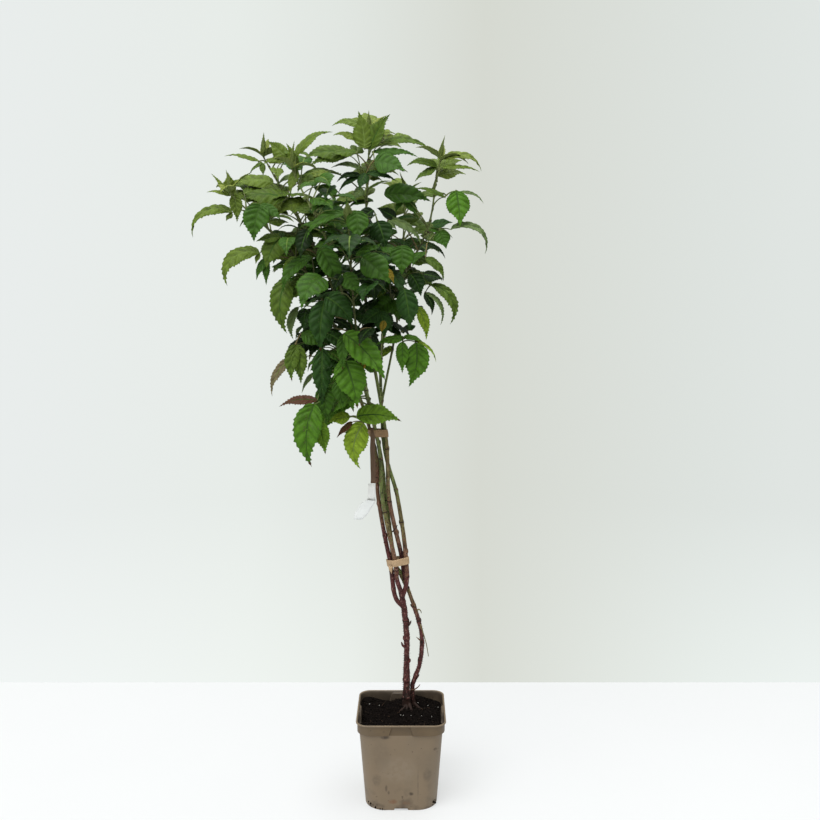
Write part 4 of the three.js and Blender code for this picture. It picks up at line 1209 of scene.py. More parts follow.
def add_limb(gather, path, radius_at, sides, nodes, seed, rough, shades, flare=0.0, spotted=0.03):
    """One limb; shades are pairs of a height and the shade below it"""
    count = int(path.length / RING_STEP)
    distances = path.length * np.arange(count + 1) / count
    points = path.at(distances)
    radii = np.array([radius_at(s) for s in distances])
    radii = radii + flare * np.clip(1 - distances / FLARE_HEIGHT, 0, 1) ** 2
    radii = radii[:, None] * (1 + relief(distances, sides, nodes, seed, rough))
    tints = limb_tints(points, sides, nodes, distances, seed, shades, spotted)
    add_tube(gather, rings_round(points, radii, sides), tints)


def add_twig(gather, points, radii, tint, sides=7):
    line = through(points, 12)
    widths = np.interp(np.linspace(0, 1, len(line)), np.linspace(0, 1, len(radii)), radii)
    add_tube(gather, rings_round(line, widths, sides), tint)


# Shades by height from the foot up, each below its height; the last height is above every limb
PAST_TOP = 2000
LIMB_HEIGHTS = dict(
    bark_main=[(156, "foot"), (PAST_TOP, "maroon")],
    bark_side=[(150, "foot"), (282, "maroon"), (302, "brown"), (PAST_TOP, "olive_bark")],
    cane_left=[(420, "maroon"), (520, "brown"), (620, "olive_bark"), (PAST_TOP, "green")],
    cane_front_left=[(350, "maroon"), (400, "brown"), (440, "olive_bark"), (PAST_TOP, "green")],
    cane_back_left=[(372, "green"), (420, "olive_bark"), (PAST_TOP, "green")],
    cane_middle=[(380, "maroon"), (470, "brown"), (560, "olive_bark"), (PAST_TOP, "green")],
    cane_right=[(345, "maroon"), (400, "brown"), (470, "olive_bark"), (PAST_TOP, "green")])
# Shoots take the darker green of painted shade inside the crown
SHOOT_HEIGHTS = [(670, "green"), (860, "painted_shade_green"), (PAST_TOP, "green")]

# Roots and short dead twigs: line, radii and shade
LIMB_TWIGS = dict(
    bark_main=[
        ([(8, 20, 135), (2, 13, 129), (-6, 7, 124)], [3, 2.4, 1.3], "foot"),
        ([(12, 18, 136), (15, 11, 130), (17, 5, 125)], [3, 2.4, 1.2], "foot"),
        ([(9, 18, 134), (8, 11, 129), (6, 4, 124)], [2.6, 2.2, 1], "foot"),
        ([(6, 24, 132), (-5, 22, 127), (-14, 17, 122)], [2.6, 2, 1], "foot"),
        ([(9, 18, 258), (12.5, 16.5, 264), (15.2, 16, 270)], [1.3, 1.1, 1.7, 1.5, 0.5], "scar"),
        ([(5, 17, 228), (2, 16, 231), (0.2, 15.5, 236)], [2.2, 2, 1.6, 0.8], "maroon"),
        ([(10.5, 18, 203), (12.6, 17, 205), (13.4, 16.4, 209)], [2.4, 2.3, 1.9, 0.9], "maroon")],
    bark_side=[
        ([(19, 26, 134), (27, 22, 128), (35, 20, 123)], [2.4, 2, 1], "foot"),
        ([(14.5, 25, 156), (19, 22, 157), (25, 20.5, 161), (29, 20, 166)], [1.5, 1.1, 0.9, 0.5], "brown"),
        ([(30, 22, 236), (26, 20, 240), (23, 19, 243)], [1.5, 1.1, 0.6, 0.3], "brown"),
        ([(24, 24.5, 283), (27, 22, 286), (30, 21, 283.5), (31, 21, 280)], [1.2, 0.9, 0.7, 0.4],
         "olive_bark"),
        ([(29, 23, 262), (34, 20, 248), (38.5, 19, 232), (42, 18.5, 212)], [0.9, 0.75, 0.7, 0.55],
         "olive_bark")],
    cane_right=[([(2.5, 17.5, 400), (5.5, 15, 402.5), (7, 14.5, 404)], [0.9, 0.6, 0.3], "brown")],
    cane_middle=[([(-13, 10.5, 411), (-9, 7.5, 416), (-5.5, 6.5, 422)], [1.2, 1, 0.7, 0.4], "scar")],
    cane_left=[([(-22, 15, 390), (-25, 13, 391.5), (-27, 12.5, 394)], [0.9, 0.6, 0.3], "brown")])

# Stems are rough and knotted, canes smooth
STEM_LOOK = dict(slot="bark", sides=18, first=22, gap=30, rough=0.2, spotted=0.08, bud=4.2,
                 bud_shade="scar", prickle=2.0)
CANE_LOOK = dict(slot="cane", sides=14, first=34, gap=44, rough=0.03, spotted=0.03, bud=3.4,
                 bud_shade="brown", prickle=1.0)
CANE_PRICKLES = dict(count=70, reach=(2, 150))
CANE_SEED = 11


def limb_piece(name, node, look, path, radius_at, seed, flare, prickles, reach):
    """A stem or a cane with its buds, prickles and dead twigs"""
    gather = Gather()
    nodes = node_places(path.length, look["first"], look["gap"], seed)
    add_limb(gather, path, radius_at, look["sides"], nodes, seed, look["rough"], LIMB_HEIGHTS[name], flare,
             look["spotted"])
    for at, azimuth in nodes:
        add_bud(gather, path, at + 1.5, azimuth, radius_at(at), look["bud"], LIMB[look["bud_shade"]])
    add_prickles(gather, path, radius_at, prickles, reach, look["prickle"], seed, LIMB["prickle"])
    for points, radii, shade in LIMB_TWIGS.get(name, ()):
        add_twig(gather, points, radii, LIMB[shade])
    gather.make(name, limb_materials, look["slot"], [node])


def stem_piece(name, node, stem):
    path = Path(through(stem["points"], 80))
    places = np.linspace(0, path.length, len(stem["radii"]))

    def radius_at(s):
        return np.interp(s, places, stem["radii"])

    reach = (2, path.length - 6)
    limb_piece(name, node, STEM_LOOK, path, radius_at, stem["seed"], stem["flare"], stem["prickles"], reach)


def shoot_pieces(shoot):
    """The leaves of a shoot, and the shoot itself with the leaf stalks"""
    leaves = Gather()
    twigs = Gather()
    for index, leaf in enumerate(shoot.leaves):
        add_leaf(leaves, twigs, leaf, shoot.seed, index)
    nodes = []
    for leaf in shoot.leaves:
        if not leaf.young:
            near = np.argmin(np.linalg.norm(shoot.path.points - leaf.stalk[0], axis=1))
            nodes.append((float(shoot.path.lengths[near]), 0.0))
    add_limb(twigs, shoot.path, shoot.radii, 10, nodes, shoot.seed, 0.03, SHOOT_HEIGHTS, spotted=0)
    leaves.make(f"leaves_{shoot.name}", leaf_materials, "foliage", [f"foliage_{shoot.name}"])
    twigs.make(f"twigs_{shoot.name}", limb_materials, "cane")


limb_materials = limb_finishes()
leaf_materials = leaf_finishes()

stem_piece("bark_main", "stem_main", STEM_MAIN)
stem_piece("bark_side", "stem_side", STEM_SIDE)

boughs, shoots = grow_plant()

for order, (name, bough) in enumerate(boughs.items()):
    limb_piece(f"cane_{name}", f"bough_{name}", CANE_LOOK, bough["path"], bough["radius_at"],
               CANE_SEED + order, 0.0, CANE_PRICKLES["count"], CANE_PRICKLES["reach"])

for shoot in shoots:
    shoot_pieces(shoot)


# Pot

# Rings from the foot up: height and inset at the foot, heights of the body, height and share of the step
# out to the collar, height and inset of the lip, and of its inside
FOOT_RINGS = ((0, 2.2), (0, 0.9), (0.4, 0.3), (1.5, 0), (3.1, 0))
BODY_HEIGHTS = (6, 14, 30, 50, 70, 90, 105, 116)
COLLAR_RINGS = ((0, 0.75), (0.5, 0.97), (1.2, 1), (4, 1), (8, 1), (11.5, 1), (14, 1))
LIP_RINGS = ((0, 0.8), (0.35, 0.15), (1.1, 0), (1.8, 0.15), (2.2, 0.6), (2.3, 1.4))
LIP_INSIDE = ((2.2, 1.8), (1.6, 1), (0, 0.3))
CORNER_STEPS = 12
# Colours of the pot, by place in its list of materials
BODY = 0
COLLAR = 1
INSIDE = 2
# Raised pad under the floor: height and radius
PAD = ((POT["recess"], 15), (0, 14.6), (0, 0.1))
PAD_SIDES = 48


def side_line(half, corner, gap, step):
    """One side of the pot and the corner after it, seen with the side facing +X"""
    flat = half - corner
    edge = min(gap + 1.2, flat - 0.5)
    between = mix(edge, flat, 0.5)
    ys = [-flat, -between, -edge, -gap, -gap * 0.5, 0, gap * 0.5, gap, edge, between]
    xs = [half + (step if abs(y) >= edge - 1e-6 else 0) for y in ys]
    angles = [rad(90 * k / CORNER_STEPS) for k in range(CORNER_STEPS)]
    arc_x = [flat + (corner + step) * math.cos(a) for a in angles]
    arc_y = [flat + (corner + step) * math.sin(a) for a in angles]
    return np.array([xs + arc_x, ys + arc_y]).T


def pot_ring(z, half, corner, gap=POT["notch"] / 2, step=0.0):
    """A level ring, lifted over the notch in the middle of each side of the foot"""
    line = side_line(half, corner, gap, step)
    notch = (np.arange(len(line)) < len(line) - CORNER_STEPS) & (np.abs(line[:, 1]) <= gap)
    heights = np.where(notch, max(z, POT["recess"]), z)
    turned = []
    for side in range(4):
        cos, sin = round(math.cos(rad(90 * side))), round(math.sin(rad(90 * side)))
        turned.append(line @ np.array([[cos, sin], [-sin, cos]]))
    return np.column_stack([np.concatenate(turned), np.tile(heights, 4)])


def body_at(z, inset=0.0):
    """Half width and corner radius of the body at a height"""
    share = z / POT["height"]
    half = mix(POT["base_half"], POT["body_half"], share) - inset
    corner = mix(POT["base_corner"], POT["top_corner"], share) - inset
    return half, corner


LIP_FOOT = POT["height"] - POT["lip_height"]
COLLAR_FOOT = LIP_FOOT - POT["collar_height"]


def collar_ring(z, inset=0.0, share=1.0):
    """A ring of the collar, which steps in at the gap in the middle of each side"""
    half, corner = body_at(z)
    gap = mix(POT["gap_foot"], POT["gap_top"], (z - COLLAR_FOOT) / POT["collar_height"]) / 2
    return pot_ring(z, half - inset, corner - inset, gap + inset, share * (POT["collar_half"] - half))


def panel_ring(z):
    """A ring of the body with the edges of the flat panel that goes up to the collar"""
    return pot_ring(z, *body_at(z), mix(POT["notch"], POT["gap_foot"], z / COLLAR_FOOT) / 2)


def pot_profile():
    """Rings from the inside of the foot up the outside and over the lip, and rings down the inside"""
    outer = [pot_ring(z, *body_at(z, inset)) for z, inset in FOOT_RINGS]
    outer += [panel_ring(z) for z in (*BODY_HEIGHTS, COLLAR_FOOT - 0.6)]
    outer += [collar_ring(COLLAR_FOOT + z, 0, share) for z, share in COLLAR_RINGS]
    outer.append(collar_ring(LIP_FOOT - 0.4, 0, 1.1))
    lip = POT["lip_half"]
    lip_corner = POT["top_corner"] + 2
    gap = POT["gap_top"] / 2
    outer += [pot_ring(LIP_FOOT + z, lip - inset, lip_corner - inset, gap) for z, inset in LIP_RINGS]
    inside = POT["collar_half"] - POT["wall"]
    inner = [pot_ring(LIP_FOOT + z, inside + more, lip_corner - 1, gap) for z, more in LIP_INSIDE]
    inner += [collar_ring(z, POT["wall"]) for z in (LIP_FOOT - 2, 128, COLLAR_FOOT + 1)]
    inner += [collar_ring(z, POT["wall"], 0) for z in (COLLAR_FOOT - 0.5, COLLAR_FOOT - 3)]
    return np.array(outer + inner), len(outer) + 1


# Marks on the front of the pot: x, z, half width, half height, strength and colour
POT_MARKS = [(51, 98, 3.6, 2.8, 0.7, (66, 53, 42)), (15, 27, 4.6, 3.8, 0.85, (66, 54, 42)),
             (-22, 36, 2.4, 7, 0.7, (80, 68, 55)), (-18.5, 29, 2, 4, 0.7, (80, 68, 55)),
             (40, 57, 9, 14, 0.5, (92, 80, 66)), (-37, 49, 9, 12, 0.45, (94, 82, 68)),
             (-23.6, 118, 8, 4, 0.8, (66, 55, 45)), (-40, 7, 20, 7, 1, (60, 50, 40)),
             (52.6, 9.8, 7, 9, 0.9, (60, 50, 40)), (25.3, 41, 1.6, 34, 0.5, (100, 88, 73)),
             (2, 3, 17, 5, 0.9, (58, 48, 38)), (-6, 66, 34, 26, 0.25, (148, 136, 119)),
             (-30, 88, 18, 30, 0.3, (104, 91, 75)), (34, 80, 16, 22, 0.25, (106, 93, 77)),
             (-12, 14, 9, 5, 0.8, (122, 88, 62)), (8, 12, 8, 4, 0.6, (122, 88, 62)),
             (46, 34, 10, 12, 0.4, (94, 81, 66))]


def add_mark(finish, grain, x, z, wide, high, strength, colour):
    """A ragged spot on the front of the pot"""
    size = np.array([wide, 9, high]) / 1000
    at = np.array([-x, 59, -z]) / 1000 / size
    spot = finish.add("ShaderNodeMapping", Scale=tuple(1 / size), Location=tuple(at))
    finish.link(finish.place, spot.inputs["Vector"])
    ball = finish.nodes.new("ShaderNodeTexGradient")
    ball.gradient_type = "SPHERICAL"
    finish.link(spot.outputs["Vector"], ball.inputs["Vector"])
    soft = finish.mask(ball.outputs["Fac"], 0.02, 0.45, strength)
    finish.stain(finish.times(soft, grain), colour)


def pot_finish(name, colour, dirt_and_shade):
    """Dusty moulded plastic, with more dirt near the foot, and a dark film for dirt and painted shade"""
    finish = Finish(name, colour, 0.5, spread=0.07, grain=14, bump=0.08, depth=0.0006)
    split = finish.add("ShaderNodeSeparateXYZ")
    finish.link(finish.place, split.inputs["Vector"])
    low = finish.mask(split.outputs["Z"], 0.002, 0.05, 0, foot=1)
    blots = finish.mask(finish.noise(55, 6.0), 0.5, 0.68, 0.8)
    finish.stain(finish.times(low, blots), (78, 66, 54))
    smears = finish.mask(finish.noise(24, 5.0, stretch=(1, 1, 0.35)), 0.52, 0.8, 0.3)
    finish.stain(smears, (108, 102, 90))
    specks = finish.mask(finish.noise(210, 2.0), 0.7, 0.74, 0.7)
    finish.stain(specks, (74, 60, 48))
    # A darker film all over: dirt inside the pot, painted shade on the collar and on the floor under it
    film = finish.mask(finish.noise(40, 5.0), 0.3, 0.7, 0.25 * dirt_and_shade, foot=dirt_and_shade)
    finish.stain(film, (54, 46, 38))
    return finish


def body_finish():
    finish = pot_finish("pot_plastic", (128, 111, 89), 0)
    grain = finish.mask(finish.noise(160, 5.0), 0.36, 0.55, 1, foot=0.35)
    for mark in POT_MARKS:
        add_mark(finish, grain, *mark)
    return finish.material


def pot_piece():
    """The shell in body, collar and inside colours, the floor and the pad under it. The collar's darker
    colour is painted shade under the lip, and the floor's dark inside colour is painted shade
    """
    gather = Gather()
    rings, outer = pot_profile()
    count, around = rings.shape[:2]
    bands = np.repeat(np.arange(count - 1), around)
    body = len(FOOT_RINGS) + len(BODY_HEIGHTS)
    on_collar = (bands > body) & (bands <= body + len(COLLAR_RINGS))
    tints = np.where(bands >= outer, INSIDE, np.where(on_collar, COLLAR, BODY))
    gather.add(rings, (lattice(count, around, True), tints))
    # The floor under the foot takes the dark inside colour: painted shade in the recess
    floor = [pot_ring(0, *body_at(0, 2.2)), pot_ring(POT["recess"], *body_at(0, POT["foot_width"])),
             pot_ring(POT["recess"], 20, 12)]
    gather.add(np.array(floor), (lattice(3, around, True)[:, ::-1], INSIDE))
    angles = np.linspace(0, 2 * np.pi, PAD_SIDES, False)
    discs = [[(r * math.cos(a), r * math.sin(a), z) for a in angles] for z, r in PAD]
    gather.add(discs, (lattice(len(PAD), PAD_SIDES, True)[:, ::-1], BODY))
    # The collar is darker than the body: painted shade under the lip
    collar_finish = pot_finish("pot_collar", (109, 90, 64), 0.3)
    inner_finish = pot_finish("pot_inside", (104, 90, 74), 0.8)
    materials = [body_finish(), collar_finish.material, inner_finish.material]
    gather.make("pot_shell", materials, "pot_plastic", ["pot"], crease=40)


pot_piece()


# Compost

# Lumps over the surface: seed, count, sizes and heights
COARSE_LUMPS = (5, 260, (3, 9), (0.6, 3.2))
FINE_LUMPS = (6, 700, (1.2, 3), (0.3, 1.3))
LUMP_REACH = 56
SOIL_RINGS = 64
CRUMBS = 1100
FIBRES = 34
# Colours of the crumbs and fibres, by place in their list of materials
DARK = 0
WHITE = 1
BROWN = 2
STRAW = 3
# Dark crumbs low down on the front: count, x along the left corner, and along the right one
FOOT_CRUMBS = 26
FOOT_CRUMB_SPANS = ((-52.5, -24), (47, 53))
CRUMB_CORNERS = np.array([(1, 0, 0), (-1, 0, 0), (0, 1, 0), (0, -1, 0), (0, 0, 1), (0, 0, -1)], float)
CRUMB_FACES = np.array([(0, 2, 4), (2, 1, 4), (1, 3, 4), (3, 0, 4),
                        (2, 0, 5), (1, 2, 5), (3, 1, 5), (0, 3, 5)])


def clods(xy, seed, count, sizes, heights):
    """Rounded lumps scattered over the surface"""
    height = np.zeros(len(xy))
    for k in range(count):
        r = draws(seed, k, 4)
        centre = np.array([LUMP_REACH * (2 * r[0] - 1), LUMP_REACH * (2 * r[1] - 1)])
        size = mix(*sizes, r[2])
        lump = np.clip(1 - np.sum((xy - centre) ** 2, 1) / size ** 2, 0, None) ** 0.7
        height = np.maximum(height, mix(*heights, r[3]) * lump)
    return height


def soil_height(xy):
    """Highest round the stems and along the back"""
    from_stems = np.hypot(xy[:, 0] - MOUND["x"], xy[:, 1] - MOUND["y"])
    mound = MOUND["height"] * np.exp(-(from_stems / MOUND["radius"]) ** 2)
    mound = mound + 7 * np.exp(-(from_stems / 15) ** 2)
    mound = mound + 4 * np.clip((xy[:, 1] - 26) / 30, 0, 1) * (1.2 + np.sin(xy[:, 0] / 13))
    lumps = clods(xy, *COARSE_LUMPS) + clods(xy, *FINE_LUMPS)
    return SOIL_EDGE - 2.2 + mound + lumps


def add_crumb(gather, centre, size, seed, tint):
    """A small angular lump"""
    r = draws(seed, 7, 6)
    points = centre + CRUMB_CORNERS * size * (0.55 + 0.6 * np.array(r))[:, None]
    gather.add(points, (CRUMB_FACES, tint))


def foot_rise(x):
    """Crumbs sit higher towards the corners"""
    return 0.15 + 0.85 * np.clip((abs(x) - 24) / 29, 0, 1) ** 1.5


def compost_piece():
    """The surface out to the wall of the pot, and a disc that closes it in the middle"""
    edge = collar_ring(SOIL_EDGE, POT["wall"] + 0.1)[:, :2]
    edge = edge[np.concatenate([[True], np.linalg.norm(np.diff(edge, axis=0), axis=1) > 0.01])]
    dense = np.concatenate([np.linspace(a, b, 3, False) for a, b in zip(edge, np.roll(edge, -1, 0))])
    shares = np.linspace(0.012, 1, SOIL_RINGS)
    xy = (shares[:, None, None] * dense[None]).reshape(-1, 2)
    points = np.column_stack([xy, soil_height(xy)])
    gather = Gather()
    around = len(dense)
    gather.add(points, (lattice(SOIL_RINGS, around, True)[:, ::-1], 0))
    middle = np.arange(around)
    gather.add([*points[:around], points[:around].mean(0)],
               (np.stack([middle, (middle + 1) % around, np.full(around, around)], -1), 0))
    compost = Finish("compost", (17, 13, 11), 0.95, spread=0.5, grain=420, bump=0.9, depth=0.0016,
                     specular=0.06)
    gather.make("compost", [compost.material], "compost", ["soil"])


def add_crumbs(bits):
    """Crumbs over the surface: dark ones, some brown and a few white"""
    for k in range(CRUMBS):
        r = draws(23, k, 6)
        spot = np.array([[60 * (2 * r[0] - 1), 60 * (2 * r[1] - 1)]])
        if np.abs(spot).min() > 50:
            continue
        z = soil_height(spot)[0]
        kind = WHITE if r[2] < 0.013 else BROWN if r[2] < 0.25 else DARK
        size = 0.75 + 0.5 * r[3] if kind == WHITE else 0.7 + 1.9 * r[3] ** 2
        add_crumb(bits, np.array([*spot[0], z + 0.3 * size]), size, 100 + k, kind)


def add_fibres(bits):
    """Bits of fibre that lie on the surface"""
    for k in range(FIBRES):
        r = draws(29, k, 8)
        spot = np.array([[50 * (2 * r[0] - 1), 50 * (2 * r[1] - 1)]])
        z = soil_height(spot)[0] + 1.4
        turn = 6.28 * r[2]
        length = 4 + 12 * r[3] ** 2
        ahead = np.array([math.cos(turn), math.sin(turn), 0.25 * (r[4] - 0.4)]) * length
        beside = np.array([-ahead[1], ahead[0], 0]) * 0.3 * (r[5] - 0.5)
        start = np.array([*spot[0], z])
        reach = np.abs(start[:2] + ahead[:2]).max()
        if reach < 54:
            line = [start, start + ahead / 2 + beside, start + ahead]
            add_twig(bits, line, [0.3, 0.45, 0.2], BROWN if r[6] < 0.6 else STRAW, 5)


def add_foot_crumbs(bits):
    """Crumbs that cling to the foot of the pot"""
    for k in range(FOOT_CRUMBS):
        r = draws(31, k, 4)
        x = mix(*FOOT_CRUMB_SPANS[k % 2], r[0])
        z = mix(1.5, 12, r[1])
        size = 0.8 + 1.1 * r[2]
        half, corner = body_at(z)
        y = -(half - corner) - math.sqrt(max(0, corner ** 2 - max(0, abs(x) - half + corner) ** 2))
        add_crumb(bits, np.array([x, y, max(size, z * foot_rise(x))]), size, 700 + k, DARK)


def bits_piece():
    bits = Gather()
    add_crumbs(bits)
    add_fibres(bits)
    add_foot_crumbs(bits)
    dark = Finish("crumb_dark", (18, 14, 12), 0.95, spread=0.5, grain=600, specular=0.06)
    white = Finish("crumb_white", (190, 188, 180), 0.8, spread=0.1, grain=900)
    brown = Finish("crumb_brown", (33, 26, 21), 0.9, spread=0.4, grain=600, specular=0.1)
    straw = Finish("fibre", (70, 54, 43), 0.85, spread=0.3, grain=600, specular=0.1)
    bits.make("compost_bits", [f.material for f in (dark, white, brown, straw)], "compost")


compost_piece()
bits_piece()


# Bands of tape and the tag

STRIP_POINTS = 7
# How far each ring of a band goes over the canes, beside their radii
CANE_SPARE = 1.04


def band_ring(tie, level, offset, sides):
    """The outline that clears every cane at one height"""
    angles = 2 * np.pi * np.arange(sides) / sides
    reach = np.full(sides, -1e9)
    for bough in boughs.values():
        s = bough["whole"].from_height(tie["at"][2] + level)
        centre = bough["whole"].at(s)
        radius = bough["radius_at"](s) * CANE_SPARE
        reach = np.maximum(reach, centre[0] * np.cos(angles) + centre[1] * np.sin(angles) + radius)
    reach = reach + offset
    after = np.roll(reach, -1)
    next_angles = np.roll(angles, -1)
    det = np.sin(next_angles - angles)
    x = (reach * np.sin(next_angles) - after * np.sin(angles)) / det
    y = (after * np.cos(angles) - reach * np.cos(next_angles)) / det
    z = tie["at"][2] - tie["drop"] + level + math.tan(rad(tie["slant"])) * (x - tie["at"][0])
    return np.column_stack([x, y, z])


def band_gather(tie, seed):
    """A closed band, swollen in the middle and slightly wavy"""
    sides = BAND["sides"]
    r = draws(seed, 1, 2)
    angles = 2 * np.pi * np.arange(sides) / sides
    ripple = 0.35 * np.sin(3 * angles + 6 * r[0]) + 0.25 * np.sin(7 * angles + 6 * r[1])
    outer = []
    inner = []
    for share in np.linspace(-0.5, 0.5, 7):
        level = share * BAND["height"]
        swell = 0.3 * math.cos(np.pi * share)
        for rings, offset in ((outer, BAND["clear"] + BAND["thick"] + swell), (inner, BAND["clear"] * 0.6)):
            ring = band_ring(tie, level, offset, sides)
            ring[:, 2] += ripple * (0.6 + share)
            rings.append(ring)
    loop = np.array([*outer, *inner[::-1], outer[0]])
    gather = Gather()
    gather.add(loop, (lattice(len(loop), sides, True), 0))
    return gather


def flat_strip(gather, line, widths, thick, curl, tint=0):
    """A thin strip along a line, facing the front, cupped across its width"""
    across = np.linspace(-1, 1, STRIP_POINTS)
    cup = curl * (1 - across ** 2)
    front = np.array([np.column_stack([x + across * width / 2, y + cup, np.full(STRIP_POINTS, z)])
                      for (x, y, z), width in zip(line, widths)])
    back = front + np.array([0, thick, 0])
    faces = shell_faces(len(front), STRIP_POINTS)
    gather.add(np.concatenate([front.reshape(-1, 3), back.reshape(-1, 3)]),
               *[(part[:, ::-1], tint) for part in faces])


def tape_finish(name, colour):
    finish = Finish(name, colour, 0.55, spread=0.1, grain=160, bump=0.35, depth=0.0004)
    fibres = finish.mask(finish.noise(500, stretch=(1, 1, 0.25)), 0.5, 0.8, 0.5)
    finish.stain(fibres, tuple(0.7 * c for c in colour))
    return finish.material


tan_tape = tape_finish("tape_tan", (184, 155, 120))
brown_tape = tape_finish("tape_brown", (142, 112, 78))
strip_tape = tape_finish("tape_strip", (98, 74, 53))

# The lower band, with a loose end that hangs from it
lower_band = band_gather(TIES["tie_lower"], 71)
flat_strip(lower_band, [(-16.3, 8.6, 358), (-16, 8.4, 352), (-14.6, 8.6, 346.5)], [7, 5.2, 0.8], 0.7, -0.4)
lower_band.make("tape_lower", [tan_tape], "tape", ["tie_lower"])
upper_band = band_gather(TIES["tie_upper"], 72)
upper_band.make("tape_upper", [brown_tape], "tape", ["tie_upper"])

# The strip that the tag hangs from
STRIP = dict(x=-41.9, y=-4, top=572, foot=488.3, width=7.4, thick=0.6, curl=-0.5)
strip = Gather()
heights = np.linspace(STRIP["top"], STRIP["foot"], 12)
line = [(STRIP["x"] + 0.4 * math.sin(z / 11), STRIP["y"] + 0.2 * math.sin(z / 7), z) for z in heights]
widths = [STRIP["width"] + 0.3 * math.sin(z / 5) for z in heights]
flat_strip(strip, line, widths, STRIP["thick"], STRIP["curl"])
strip.make("tape_strip", [strip_tape], "tape", ["tag_strip"])

# The tag: an upright part, a fold lined with painted shadow and a wider tail that leans to the left
PAPER = 0
FILM = 1
FOLD_SHADOW = 2
label = Gather()
upper = [(-43.4 - 0.03 * (487 - z), -4.2 - 0.01 * (487 - z), z) for z in np.linspace(487.6, 464, 6)]
flat_strip(label, upper, [10.8] * 6, 0.4, -0.8, PAPER)
tail = through([(-44.5, -4.6, 463.5), (-51, -5.6, 456), (-57.5, -6.5, 446), (-64.5, -7.3, 434)], 9)
flat_strip(label, tail, np.interp(np.arange(10), [0, 2, 7, 9], [13, 20, 20, 12]), 0.3, -0.6, FILM)
# A thin grey tube along the fold: painted shadow
fold = [(-51, -5.4, 464.6), (-44, -5.6, 463.4), (-38, -5.2, 463.2)]
add_tube(label, rings_round(through(fold, 8), np.full(9, 0.45), 8), FOLD_SHADOW)
paper = Finish("tag_white", (238, 239, 236), 0.5, spread=0.03, grain=60, bump=0.1)
film = Finish("tag_film", (240, 243, 242), 0.35, spread=0.03, grain=60, bump=0.1)
shade_line = Finish("tag_fold_shadow", (132, 132, 128), 0.6, spread=0.1, grain=200)
label.make("tag_blank", [paper.material, film.material, shade_line.material], "label", ["tag_label"])


# Floor, light and camera

# Where the floor ends behind the plant, and how far it goes on the other sides, in metres
WALL_LINE = 0.44
FLOOR_REACH = 4.0
# The floor glows a little, as a lit white sheet does
FLOOR_GLOW = (251, 253, 253)
FLOOR_GLOW_STRENGTH = 0.5

floor_mesh = bpy.data.meshes.new("floor")
corners = [(-FLOOR_REACH, -FLOOR_REACH, 0), (FLOOR_REACH, -FLOOR_REACH, 0), (FLOOR_REACH, WALL_LINE, 0),
           (-FLOOR_REACH, WALL_LINE, 0)]
floor_mesh.from_pydata(corners, [], [(0, 1, 2, 3)])
floor = bpy.data.objects.new("floor", floor_mesh)
bpy.context.scene.collection.objects.link(floor)
floor_finish = Finish("floor_white", (170, 171, 172), 0.6, spread=0.01, grain=3, bump=0.0, specular=0.1)
floor_finish.shader.inputs["Emission Color"].default_value = scaled(linear(*FLOOR_GLOW))
floor_finish.shader.inputs["Emission Strength"].default_value = FLOOR_GLOW_STRENGTH
floor_mesh.materials.append(floor_finish.material)

# The wall from left to right, high up and near the floor: paler near the floor as painted light,
# and darker towards a band right of the middle as the painted shadow of a board
WALL_HIGH = [(0.31, (233, 237, 236)), (0.42, (231, 236, 232)), (0.47, (225, 230, 225)),
             (0.535, (214, 217, 209)), (0.64, (221, 226, 222)), (0.68, (224, 229, 226))]
WALL_LOW = [(0.31, (244, 248, 247)), (0.42, (240, 245, 241)), (0.47, (236, 241, 236)),
            (0.535, (217, 220, 212)), (0.64, (234, 240, 236)), (0.68, (239, 245, 242))]
# The even light from all round
FILL = (234, 237, 232)
FILL_STRENGTH = 0.42


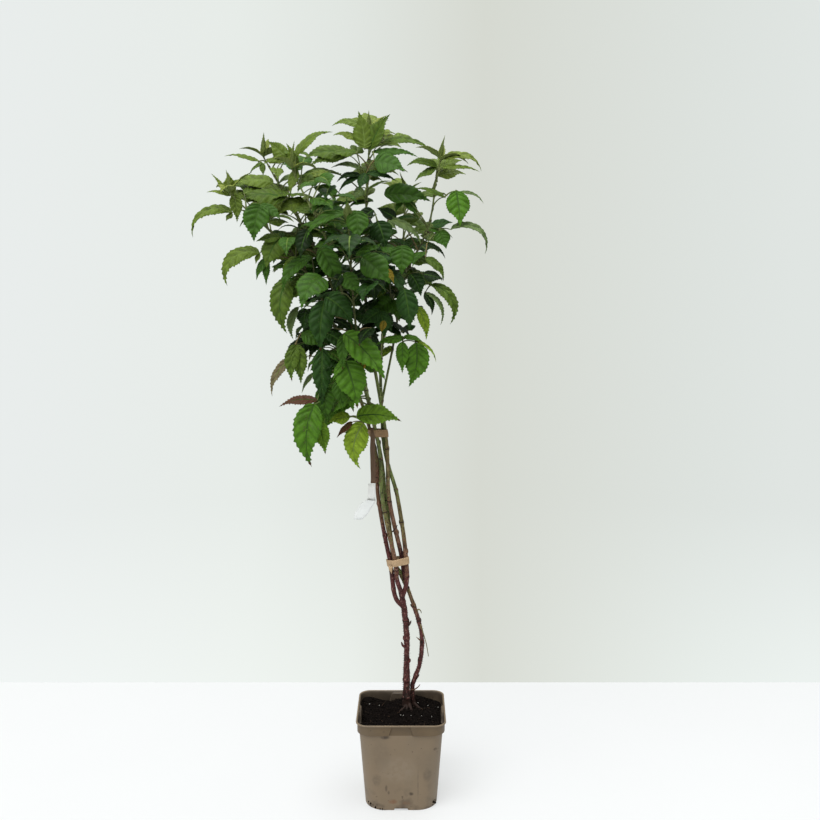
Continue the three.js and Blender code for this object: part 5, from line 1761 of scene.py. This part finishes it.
def studio():
    """A pale wall with painted light and shadow, paler on the left and near the floor and darker where a
    board's shadow is painted, and a weaker even light from all round
    """
    world = bpy.data.worlds.new("studio")
    world.use_nodes = True
    tree = world.node_tree
    nodes = tree.nodes
    link = tree.links.new
    place = nodes.new("ShaderNodeTexCoord")
    split = nodes.new("ShaderNodeSeparateXYZ")
    link(place.outputs["Generated"], split.inputs["Vector"])

    def half_of(socket):
        half = nodes.new("ShaderNodeMath")
        half.operation = "MULTIPLY_ADD"
        half.inputs[1].default_value = half.inputs[2].default_value = 0.5
        link(socket, half.inputs[0])
        return half.outputs[0]

    def wall_colours(socket, stops):
        return add_ramp(tree, socket, [(share, scaled(linear(*colour))) for share, colour in stops])

    aside = half_of(split.outputs["X"])
    down = wall_colours(half_of(split.outputs["Z"]), [(0.31, (255, 255, 255)), (0.4, (0, 0, 0))])
    wall = nodes.new("ShaderNodeMix")
    wall.data_type = "RGBA"
    link(down, wall.inputs["Factor"])
    link(wall_colours(aside, WALL_HIGH), wall.inputs[MIX["a"]])
    link(wall_colours(aside, WALL_LOW), wall.inputs[MIX["b"]])
    link(wall.outputs[MIX["result"]], nodes["Background"].inputs["Color"])
    fill = nodes.new("ShaderNodeBackground")
    fill.inputs["Color"].default_value = scaled(linear(*FILL))
    fill.inputs["Strength"].default_value = FILL_STRENGTH
    rays = nodes.new("ShaderNodeLightPath")
    both = nodes.new("ShaderNodeMixShader")
    link(rays.outputs["Is Camera Ray"], both.inputs[0])
    link(fill.outputs[0], both.inputs[1])
    link(nodes["Background"].outputs[0], both.inputs[2])
    link(both.outputs[0], nodes["World Output"].inputs["Surface"])
    return world


bpy.context.scene.world = studio()
bpy.context.scene.view_settings.view_transform = "Standard"


def area_light(name, at, target, size, power):
    """A round lamp that faces its target"""
    data = bpy.data.lights.new(name, "AREA")
    data.shape = "DISK"
    data.size = size
    data.energy = power
    light = bpy.data.objects.new(name, data)
    bpy.context.scene.collection.objects.link(light)
    light.location = at
    ahead = unit(np.array(target, float) - np.array(at, float))
    light.rotation_euler = (math.acos(-ahead[2]), 0, math.atan2(ahead[1], ahead[0]) - math.pi / 2)


# Lamps: place, what they face, width in metres and power
area_light("key", (-1.3, -1.9, 3.1), (0, 0, 0.5), 3.0, 76)
area_light("overhead", (0.2, -0.1, 3.2), (0, 0, 0.5), 4.0, 82)

# The camera of the front view: place in metres, degrees down and lens in millimetres
CAMERA_AT = (0.0134, -1.457, 0.766)
PITCH = 6.58
LENS = 43.38

camera_data = bpy.data.cameras.new("camera")
camera_data.sensor_width = 36
camera_data.lens = LENS
camera = bpy.data.objects.new("camera", camera_data)
bpy.context.scene.collection.objects.link(camera)
camera.location = CAMERA_AT
camera.rotation_euler = (rad(90 - PITCH), 0, 0)
bpy.context.scene.camera = camera
